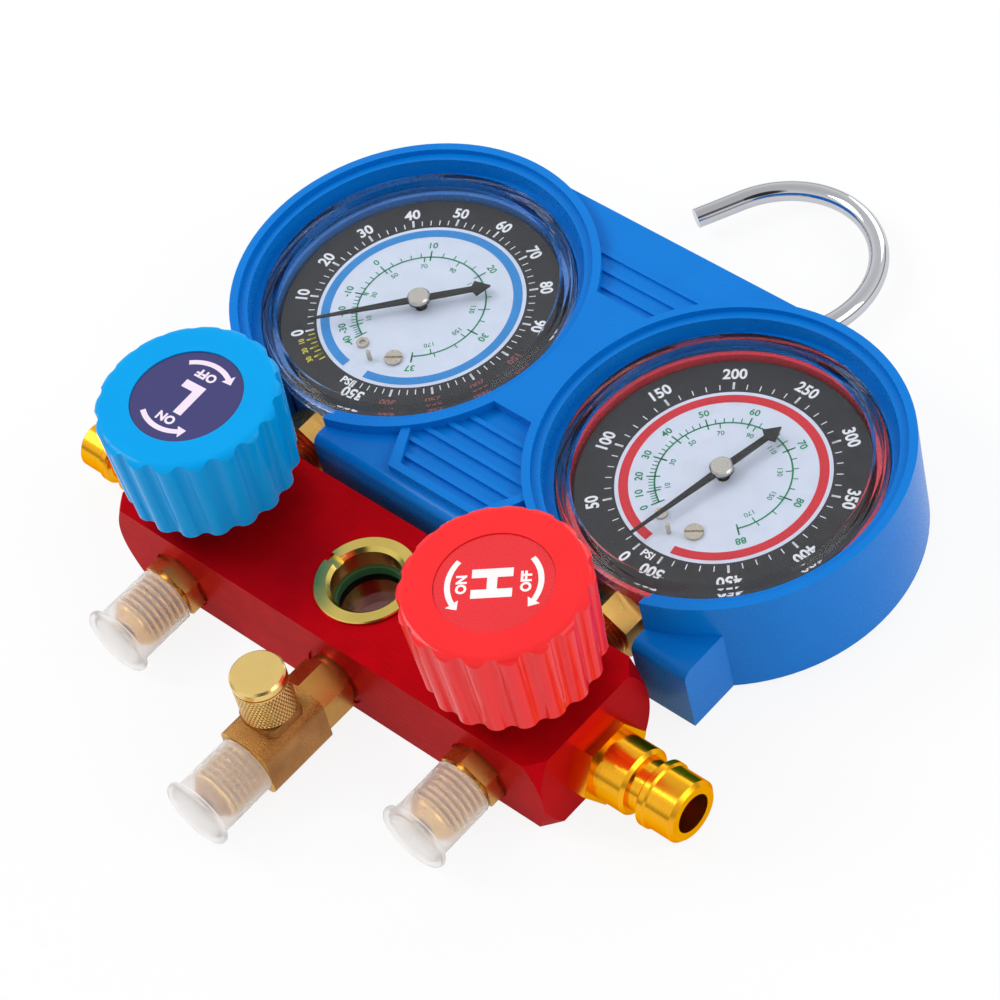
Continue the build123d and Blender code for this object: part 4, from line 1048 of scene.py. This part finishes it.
# ---- sub-assemblies --------------------------------------------------------------------------------
class Manifold:
    """The block with its sight glass and couplers."""

    def dress(self) -> None:
        """Give the block, sight glass and couplers their finishes."""
        red = Anodised(srgb(202, 8, 22), srgb(142, 4, 12), roughness=0.36, metallic=0.5, lines=0.025)
        coat("manifold_block", red.make("red_anodised"))
        ring = Brass(srgb(226, 202, 110), srgb(180, 150, 62), roughness=0.16)
        coat("sight_glass_ring", ring.make("ring_brass"))
        gasket = MouldedPlastic(srgb(52, 112, 76), srgb(30, 70, 48), 0.6)
        coat("sight_glass_gasket", gasket.make("gasket_green"))
        coat("sight_glass_lens", ClearPlastic(roughness=0.03).make("window_glass"))
        gold = Anodised(
            srgb(252, 188, 46),
            srgb(238, 152, 20),
            roughness=0.2,
            turned=True,
            along=Along.X,
            center=(0, 0, COUPLER_Z),
            lines=0.003,
        )
        for side in Side:
            coat(f"{side.value}_coupler", gold.make(f"{side.value}_gold"))


@dataclass
class Ports:
    """Hose ports, tee, service port and dust caps, with the places of their threads in mm."""

    thread_pitch: float = 1.6
    thread_radius: float = 5.5
    thread_start: float = -22.4
    tee_thread_start: float = -45.6
    cap_knurl: tuple[float, float, int] = (18.8, 27.8, 44)
    cap_radius: float = 6.2

    def thread(self, start: float) -> Point:
        """Run a hose thread from a port's open end to the height where it starts."""
        return (-ENDLESS, start, self.thread_pitch)

    def dress(self) -> None:
        """Give all fittings in front of the block their finishes."""
        for side in Side:
            brass = Brass(
                center=(side.sign * STATION_X, 0, PORT_Z),
                along=Along.Y,
                thread_radius=self.thread_radius,
                thread=self.thread(self.thread_start),
            )
            coat(f"{side.value}_hose_port", brass.make(f"{side.value}_port_brass"))
        self.dress_tee()
        self.dress_service_port()
        milk = ClearPlastic((1.0, 0.985, 0.975, 1.0), 0.29, 0.84, cloud=0.06, bend=1.18)
        plastic = milk.make("milky_plastic")
        for place in ("low", "center", "high"):
            coat(f"{place}_dust_cap", plastic)

    def dress_tee(self) -> None:
        """Give the nipple and the forged tee their finishes."""
        center = (TEE_X, 0, PORT_Z)
        nipple = Brass(srgb(206, 158, 84), center=center, along=Along.Y)
        coat("tee_nipple", nipple.make("nipple_brass"))
        tee = Brass(
            srgb(196, 142, 76),
            srgb(126, 80, 40),
            roughness=0.4,
            center=center,
            along=Along.Y,
            forged=True,
            thread=self.thread(self.tee_thread_start),
            thread_radius=self.thread_radius,
        )
        coat("tee_body", tee.make("forged_brass"))

    def dress_service_port(self) -> None:
        """Give the knurled cap, its seal and the valve core their finishes."""
        center = (TEE_X, BRANCH_Y, 0)
        cap = Brass(
            srgb(248, 216, 138),
            srgb(196, 150, 74),
            roughness=0.24,
            center=center,
            knurl=self.cap_knurl,
            thread_radius=self.cap_radius,
        )
        coat("service_cap", cap.make("cap_brass"))
        seal = MouldedPlastic(srgb(30, 30, 30), srgb(18, 18, 18), 0.6)
        coat("service_cap_seal", seal.make("seal_rubber"))
        core = Brass(center=center).make("core_brass")
        coat("valve_core", core)
        coat("valve_core_pin", core)


@dataclass(frozen=True)
class LabelLayout:
    """Sizes in mm of a knob label's print, and the angles of its arrows from the words."""

    letter_height: float = 11.2
    letter_weight: float = 0.6
    word_radius: float = 6.9
    word_height: float = 3.1
    word_weight: float = 0.14
    arrow_radius: float = 10.0
    arrow_width: float = 1.25
    arrow_head: float = 2.0
    arrow_tail: float = 38.0
    arrow_tip: float = 30.0


@dataclass
class Valve:
    """One hand valve: knob, label, stem, piston and bonnet."""

    side: Side
    knob: MouldedPlastic
    label: MouldedPlastic
    word: str
    ink: Color
    turn: float
    layout: LabelLayout = LabelLayout()

    def dress(self) -> None:
        """Give the valve's parts their finishes and print its label."""
        name = self.side.value
        x = self.side.sign * STATION_X
        coat(f"{name}_knob", self.knob.make(f"{name}_knob_plastic"))
        coat(f"{name}_knob_label", self.label.make(f"{name}_label_plastic"))
        brass = Brass(center=(x, 0, 0)).make(f"{name}_valve_brass")
        for part in ("valve_bonnet", "valve_stem", "valve_piston"):
            coat(f"{name}_{part}", brass)
        coat(f"{name}_knob_screw", PlatedSteel().make(f"{name}_screw_steel"))
        self.print_label((x, 0.0))

    def print_label(self, center: Spot) -> None:
        """Print the side's letter, the two switch words and their turning arrows.

        Args:
            center: The knob's axis in mm.
        """
        name = self.side.value
        press = Printer(center, LABEL_Z + LABEL_INK)
        size = self.layout
        above, below = self.turn + 90, self.turn - 90
        word = (size.word_height, size.word_weight)
        arrow = (size.arrow_width, size.arrow_head)
        marks = [
            press.words(self.word, 0.0, above, size.letter_height, size.letter_weight),
            press.words("ON", size.word_radius, above, *word),
            press.words("OFF", size.word_radius, below, *word, outward=False),
            press.arrow(size.arrow_radius, above - size.arrow_tail, above + size.arrow_tip, *arrow),
            press.arrow(size.arrow_radius, below + size.arrow_tail, below - size.arrow_tip, *arrow),
        ]
        piece = Bench.join(marks, f"{name}_label_print")
        ink = Print(self.ink).make(f"{name}_label_ink")
        finish_piece(piece, f"{name}_label_print", ink, f"{name}_handle")


@dataclass(frozen=True)
class DialLayout:
    """Sizes in mm of a dial's print, measured from the axis or from the pale middle's edge."""

    scale_gap: float = 0.7
    major: Spot = (2.1, 0.55)
    minor: Spot = (1.5, 0.24)
    number_radius: float = 29.6
    number: Spot = (4.1, 0.12)
    number_squeeze: float = 0.92
    band: Spot = (3.1, 0.9)
    unit_rise: float = 1.2
    unit: Spot = (2.7, 0.08)
    white: Color = srgb(240, 242, 246)
    green: Color = srgb(0, 142, 96)


@dataclass(frozen=True)
class InnerLayout:
    """Sizes in mm of the temperature scale inside the band, and what its inner numbers count."""

    line: Spot = (15.25, 15.65)
    minor: Point = (15.4, 16.8, 0.26)
    major: Point = (14.2, 17.4, 0.36)
    number_radius: float = 19.0
    number: Spot = (2.5, 0.05)
    wide_gap: int = 10
    wide_steps: int = 5
    narrow_steps: int = 3
    second_tick: Point = (13.9, 15.4, 0.3)
    second_radius: float = 12.5
    second_number: Spot = (1.8, 0.02)
    second_count: int = 9
    second_first: int = 170
    second_step: int = 20


@dataclass(frozen=True)
class LowLayout:
    """What only the low dial has: an overload stretch up to 350 and a vacuum scale."""

    end: float = -443.8
    steps: int = 5
    minors: int = 25
    last_value: int = 350
    last_radius: float = 29.2
    last_nudge: float = 3.0
    overload: Spot = (2.6, 0.05)
    overload_first: int = 150
    overload_step: int = 50
    overload_red: Color = srgb(150, 84, 84)
    vacuum_start: float = 229.2
    vacuum_step: float = 6.0
    vacuum_values: tuple[int, ...] = (10, 20, 30)
    vacuum_major: Spot = (2.2, 0.5)
    vacuum_minor: Spot = (1.5, 0.3)
    vacuum_rise: float = 3.4
    vacuum_number: Spot = (1.8, 0.04)
    vacuum_yellow: Color = srgb(226, 214, 60)


@dataclass
class Gauge:
    """One dial gauge: case, dial with its printing, lens, movement and pointer."""

    side: Side
    rim: Color
    deep_rim: Color
    band_color: Color
    middle_radius: float
    zero_angle: float
    step_angle: float
    step_value: int
    numbers: int
    minor: int
    band_gap: Spot
    unit_angle: float
    inner_scale: dict[int, float] = field(default_factory=dict)
    layout: DialLayout = DialLayout()
    inner: InnerLayout = InnerLayout()
    extra: LowLayout = LowLayout()
    lens_knurl: Point = (36.9, 19.9, 26.4)
    stem_thread: Point = (-ENDLESS, 25.0, 1.2)
    stem_radius: float = 6.0

    @property
    def center(self) -> Spot:
        """The gauge's axis in mm."""
        return (self.side.sign * STATION_X, GAUGE_Y)

    def dress(self) -> None:
        """Give the gauge's parts their finishes and print its dial."""
        name = self.side.value
        x, y = self.center
        case = MouldedPlastic(self.rim, self.deep_rim, 0.25, coat=0.4)
        coat(f"{name}_gauge_case", case.make(f"{name}_case_paint"))
        dial = DialFace((x, y, 0), self.middle_radius)
        coat(f"{name}_gauge_dial", dial.make(f"{name}_dial_print"))
        lens = ClearPlastic(center=(x, y, 0), knurl=self.lens_knurl, bend=1.2)
        coat(f"{name}_gauge_lens", lens.make(f"{name}_lens_plastic"))
        stem = Brass(
            center=(x, 0, STEM_Z),
            along=Along.Y,
            thread=self.stem_thread,
            thread_radius=self.stem_radius,
        )
        coat(f"{name}_gauge_stem", stem.make(f"{name}_stem_brass"))
        movement = Brass(center=(x, y, 0)).make(f"{name}_movement_brass")
        for part in ("bourdon_tube", "movement_frame", "sector_gear", "gauge_link", "pointer_arbor"):
            coat(f"{name}_{part}", movement)
        coat(f"{name}_pointer", PointerFinish((x, y, 0)).make(f"{name}_pointer_paint"))
        fixings = PlatedSteel(srgb(196, 186, 170), 0.22)
        coat(f"{name}_dial_fixings", fixings.make(f"{name}_fixing_steel"))
        self.print_dial()

    def ink(self, piece: Piece, label: str, color: Color, name: str) -> None:
        """Give one printed piece of the dial its name and its ink.

        Args:
            piece: The piece.
            label: Its name without the side.
            color: Its color.
            name: The name of its ink.
        """
        finish_piece(piece, f"{self.side.value}_{label}", Print(color).make(name), "body")

    def print_dial(self) -> None:
        """Print the scales, numbers and colored band."""
        name = self.side.value
        size = self.layout
        press = Printer(self.center, DIAL_Z + DIAL_INK)
        edge = self.middle_radius + size.scale_gap
        last = self.zero_angle - self.step_angle * (self.numbers - 1)
        count = (self.numbers - 1) * self.minor + 1
        white = [
            self.scale(press, size.major, self.zero_angle, last, self.numbers),
            self.scale(press, size.minor, self.zero_angle, last, count),
        ]
        for index in range(self.numbers):
            angle = self.zero_angle - index * self.step_angle
            white.append(self.number(press, index * self.step_value, size.number_radius, angle))
        white.append(press.words("PSI", edge + size.unit_rise, self.unit_angle, *size.unit, outward=False))
        if self.side is Side.LOW:
            self.print_vacuum(press, edge)
            white += self.print_overload(press, last)
        self.ink(Bench.join(white, f"{name}_dial_scale"), "dial_scale", size.white, f"{name}_white_ink")
        inner, outer = (self.middle_radius - inset for inset in size.band)
        band = press.band(inner, outer, self.band_gap[1], self.band_gap[0] + 360)
        self.ink(band, "dial_band", self.band_color, f"{name}_band_ink")
        self.print_inner_scale(press)

    def scale(self, press: Printer, tick: Spot, first: float, last: float, count: int) -> Piece:
        """Print equal ticks on the outer scale.

        Args:
            press: The dial's printer.
            tick: The length and width in mm of one tick.
            first: The first angle in degrees.
            last: The last angle in degrees.
            count: The number of ticks.

        Returns:
            The ticks as one piece.
        """
        edge = self.middle_radius + self.layout.scale_gap
        return press.ticks(edge, edge + tick[0], tick[1], first, last, count)

    def number(self, press: Printer, value: int, radius: float, angle: float) -> Piece:
        """Print one of the large numbers of the outer scale."""
        size = self.layout
        return press.words(str(value), radius, angle, *size.number, squeeze=size.number_squeeze)

    def print_overload(self, press: Printer, last: float) -> list[Piece]:
        """Print the crowded stretch past the last main number, and its faint red numbers.

        Args:
            press: The dial's printer.
            last: The angle of the last main number, in degrees.

        Returns:
            The white marks.
        """
        size, low = self.layout, self.extra
        first = last + (low.end - last) / low.steps
        marks = [
            self.scale(press, size.minor, last, low.end, low.minors + 1),
            self.scale(press, size.major, first, low.end, low.steps),
            self.number(press, low.last_value, low.last_radius, low.end + low.last_nudge),
        ]
        faint = []
        for index in range(low.steps - 1):
            angle = last + (low.end - last) * (index + 1) / low.steps
            text = str(low.overload_first + low.overload_step * index)
            faint.append(press.words(text, size.number_radius, angle, *low.overload))
        red = Bench.join(faint, "low_overload_scale")
        self.ink(red, "overload_scale", low.overload_red, "faint_red_ink")
        return marks

    def print_vacuum(self, press: Printer, edge: float) -> None:
        """Print the yellow vacuum scale.

        Args:
            press: The dial's printer.
            edge: The inner radius of the scale in mm.
        """
        low = self.extra
        start, step, count = low.vacuum_start, low.vacuum_step, len(low.vacuum_values)
        end = start + (count + 0.5) * step
        yellow = [
            self.scale(press, low.vacuum_major, start + step, start + count * step, count),
            self.scale(press, low.vacuum_minor, start + step / 2, end, 2 * count + 1),
        ]
        for index, value in enumerate(low.vacuum_values):
            angle = start + step * (index + 1)
            yellow.append(press.words(str(value), edge + low.vacuum_rise, angle, *low.vacuum_number))
        vacuum = Bench.join(yellow, "low_vacuum_scale")
        self.ink(vacuum, "vacuum_scale", low.vacuum_yellow, "yellow_ink")

    def print_inner_scale(self, press: Printer) -> None:
        """Print the green temperature scale inside the band.

        Args:
            press: The dial's printer.
        """
        name = self.side.value
        size = self.inner
        values = sorted(self.inner_scale)
        first, last = self.inner_scale[values[-1]], self.inner_scale[values[0]]
        marks = [press.band(*size.line, first, last)]
        for low, high in zip(values, values[1:]):
            steps = size.wide_steps if high - low >= size.wide_gap else size.narrow_steps
            marks.append(press.ticks(*size.minor, self.inner_scale[low], self.inner_scale[high], steps + 1))
        for value in values:
            marks.append(press.tick(*size.major, self.inner_scale[value]))
            marks.append(press.words(str(value), size.number_radius, self.inner_scale[value], *size.number))
        for index in range(size.second_count):
            angle = first + (last - first) * (index + 0.5) / size.second_count
            text = str(size.second_first - index * size.second_step)
            marks.append(press.tick(*size.second_tick, angle))
            marks.append(press.words(text, size.second_radius, angle, *size.second_number))
        piece = Bench.join(marks, f"{name}_temperature_scale")
        self.ink(piece, "temperature_scale", self.layout.green, f"{name}_green_ink")


class Holder:
    """The two-part plastic holder, its screws and the hanging hook."""

    def dress(self) -> None:
        """Give holder and hook their finishes."""
        blue = MouldedPlastic(srgb(4, 119, 207), srgb(2, 108, 197), 0.28, 0.012, coat=0.05, gloss=0.12)
        plastic = blue.make("holder_plastic")
        coat("holder_front", plastic)
        coat("holder_back", plastic)
        coat("holder_screws", PlatedSteel(roughness=0.2).make("holder_screw_steel"))
        chrome = PlatedSteel(srgb(204, 205, 210), 0.05, 0.002).make("hook_chrome")
        coat("hook", chrome)
        coat("hook_retainer", chrome)


@dataclass
class Studio:
    """Camera, lights, floor and surroundings."""

    place: Point = (465.4, -298.8, 684.5)
    right: Point = (0.7336, 0.6566, -0.1750)
    down: Point = (0.4327, -0.6499, -0.6247)
    focal: float = 3903.9
    picture: float = 1000.0
    sensor: float = 36.0
    screen: Point = (0.58, -0.43, 0.69)
    floor_glow: float = 0.88
    mirrored_glow: float = 0.6
    room_light: float = 0.72
    rise: Color = (0.1, 0.3, 0.3, 0.95)
    fall: Color = (0.45, 0.95, 1.0, 0.7)
    patch: Color = (0.91, 0.965, 1.0, 0.05)

    def build(self) -> None:
        """Set up the whole studio."""
        self.add_camera()
        self.add_floor()
        self.add_lights()
        self.add_world()
        bpy.context.scene.view_settings.view_transform = "Standard"

    def add_camera(self) -> None:
        """Place the camera at its measured station."""
        Bench.clear()
        bpy.ops.object.camera_add()
        camera = bpy.context.object
        camera.name = "camera"
        across = Vector(self.right).normalized()
        up = -Vector(self.down).normalized()
        back = across.cross(up).normalized()
        turn = Matrix((across, up, back)).transposed().to_4x4()
        camera.matrix_world = Matrix.Translation(Vector(self.place) * MM) @ turn
        camera.data.sensor_width = self.sensor
        camera.data.lens = self.focal * self.sensor / self.picture
        camera.data.clip_start = 0.01
        camera.data.clip_end = 20
        bpy.context.scene.camera = camera

    def add_floor(self) -> None:
        """Lay the pale floor, which shows nearly white and keeps the shadow."""
        Bench.clear()
        bpy.ops.mesh.primitive_plane_add(size=6, location=(0, 0, -0.0002))
        floor = bpy.context.object
        floor.name = "floor"
        material = bpy.data.materials.new("floor_white")
        material.use_nodes = True
        graph = Graph(material.node_tree)
        shader = material.node_tree.nodes["Principled BSDF"]
        output = material.node_tree.nodes["Material Output"]
        shader.inputs["Base Color"].default_value = (0.86, 0.86, 0.87, 1)
        shader.inputs["Roughness"].default_value = 0.9
        shader.inputs["Specular IOR Level"].default_value = 0.1
        glow = graph.node("ShaderNodeEmission")
        glow.inputs["Strength"].default_value = 1.0
        rays = graph.node("ShaderNodeLightPath")
        mirrored = graph.times(rays.outputs["Is Glossy Ray"], self.mirrored_glow)
        other = graph.math("MAXIMUM", mirrored, rays.outputs["Is Transmission Ray"])
        seen = graph.math("MAXIMUM", rays.outputs["Is Camera Ray"], other)
        mix = graph.node("ShaderNodeMixShader")
        graph.feed(mix.inputs[0], graph.times(seen, self.floor_glow))
        graph.feed(mix.inputs[1], shader.outputs[0])
        graph.feed(mix.inputs[2], glow.outputs[0])
        graph.feed(output.inputs["Surface"], mix.outputs[0])
        floor.data.materials.append(material)

    def add_light(self, name: str, place: Point, size: float, power: float) -> None:
        """Add one soft area light that points at the object.

        Args:
            name: Its name.
            place: Its place in metres.
            size: Its width in metres.
            power: Its power in watts.
        """
        aim = Vector((0.0, 0.05, 0.02)) - Vector(place)
        turn = aim.to_track_quat("-Z", "Y").to_euler()
        bpy.ops.object.light_add(type="AREA", location=place, rotation=turn)
        light = bpy.context.object
        light.name = name
        light.data.shape = "SQUARE"
        light.data.size = size
        light.data.energy = power

    def add_lights(self) -> None:
        """Key light from the front left, fill from the right and a low rim light from behind."""
        Bench.clear()
        self.add_light("key", (-0.85, -0.35, 0.95), 0.6, 7.0)
        self.add_light("fill", (0.95, 0.35, 0.7), 0.7, 3.5)
        self.add_light("rim", (-0.2, 1.1, 0.45), 0.6, 2.5)

    def add_world(self) -> None:
        """White surroundings for the camera, an even room for light, a graded one for reflections."""
        world = bpy.data.worlds.new("room")
        world.use_nodes = True
        bpy.context.scene.world = world
        graph = Graph(world.node_tree)
        output = world.node_tree.nodes["World Output"]
        background = world.node_tree.nodes["Background"]
        heading = graph.node("ShaderNodeTexCoord").outputs["Generated"]
        height = graph.split(heading)[2]
        rays = graph.node("ShaderNodeLightPath")
        reflected = graph.times(graph.ramp(height, *self.rise), graph.ramp(height, *self.fall))
        toward = graph.node("ShaderNodeVectorMath", operation="DOT_PRODUCT")
        graph.feed(toward.inputs[0], heading)
        toward.inputs[1].default_value = Vector(self.screen).normalized()
        reflected = graph.times(reflected, graph.ramp(toward.outputs["Value"], *self.patch))
        glossy = rays.outputs["Is Glossy Ray"]
        plain = graph.times(graph.math("SUBTRACT", 1.0, glossy), self.room_light)
        level = graph.math("ADD", graph.times(reflected, glossy), plain)
        background.inputs["Color"].default_value = (1, 1, 1, 1)
        graph.feed(background.inputs["Strength"], level)
        white = graph.node("ShaderNodeBackground")
        white.inputs["Color"].default_value = (1, 1, 1, 1)
        mix = graph.node("ShaderNodeMixShader")
        direct = graph.math("MAXIMUM", rays.outputs["Is Camera Ray"], rays.outputs["Is Transmission Ray"])
        graph.feed(mix.inputs[0], direct)
        graph.feed(mix.inputs[1], background.outputs[0])
        graph.feed(mix.inputs[2], white.outputs[0])
        graph.feed(output.inputs["Surface"], mix.outputs[0])


# Angles in degrees of the marked temperatures.
LOW_TEMPERATURES = dict(
    zip((*range(-40, 31, 10), 37), (247.2, 234.4, 217.8, 198.7, 167.0, 123.9, 70.0, 2.5, -55.6))
)
HIGH_TEMPERATURES = dict(
    zip((*range(0, 81, 10), 88), (241.6, 228.8, 213.6, 194.6, 171.9, 143.2, 107.8, 61.7, 10.5, -38.7))
)


def main() -> None:
    """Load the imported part, dress it and set up the studio."""
    logging.basicConfig(level=logging.INFO, format="%(name)s: %(message)s")
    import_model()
    Manifold().dress()
    Ports().dress()
    Valve(
        side=Side.LOW,
        knob=MouldedPlastic(srgb(4, 156, 226), srgb(2, 146, 219), 0.12, 0.004, gloss=0.08),
        label=MouldedPlastic(srgb(44, 42, 108), srgb(36, 34, 92), 0.2, 0.004, coat=0.3),
        word="L",
        ink=srgb(236, 220, 238),
        turn=183.0,
    ).dress()
    Valve(
        side=Side.HIGH,
        knob=MouldedPlastic(srgb(240, 40, 44), srgb(232, 32, 38), 0.13, 0.004, coat=0.05, gloss=0.2),
        label=MouldedPlastic(srgb(228, 24, 36), srgb(212, 18, 28), 0.25, 0.004, coat=0.2),
        word="H",
        ink=srgb(250, 240, 240),
        turn=128.0,
    ).dress()
    Gauge(
        side=Side.LOW,
        rim=srgb(70, 136, 216),
        deep_rim=srgb(50, 112, 190),
        band_color=srgb(36, 138, 212),
        middle_radius=25.0,
        zero_angle=-130.8,
        step_angle=23.15,
        step_value=10,
        numbers=10,
        minor=5,
        band_gap=(-97.6, -82.6),
        unit_angle=272.0,
        inner_scale=LOW_TEMPERATURES,
    ).dress()
    Gauge(
        side=Side.HIGH,
        rim=srgb(232, 62, 76),
        deep_rim=srgb(206, 40, 54),
        band_color=srgb(214, 30, 46),
        middle_radius=24.5,
        zero_angle=-97.4,
        step_angle=34.5,
        step_value=50,
        numbers=11,
        minor=5,
        band_gap=(-97.2, -80.3),
        unit_angle=270.4,
        inner_scale=HIGH_TEMPERATURES,
    ).dress()
    Holder().dress()
    Studio().build()
    log.info("cad box and visual box written")


if __name__ == "__main__":
    main()
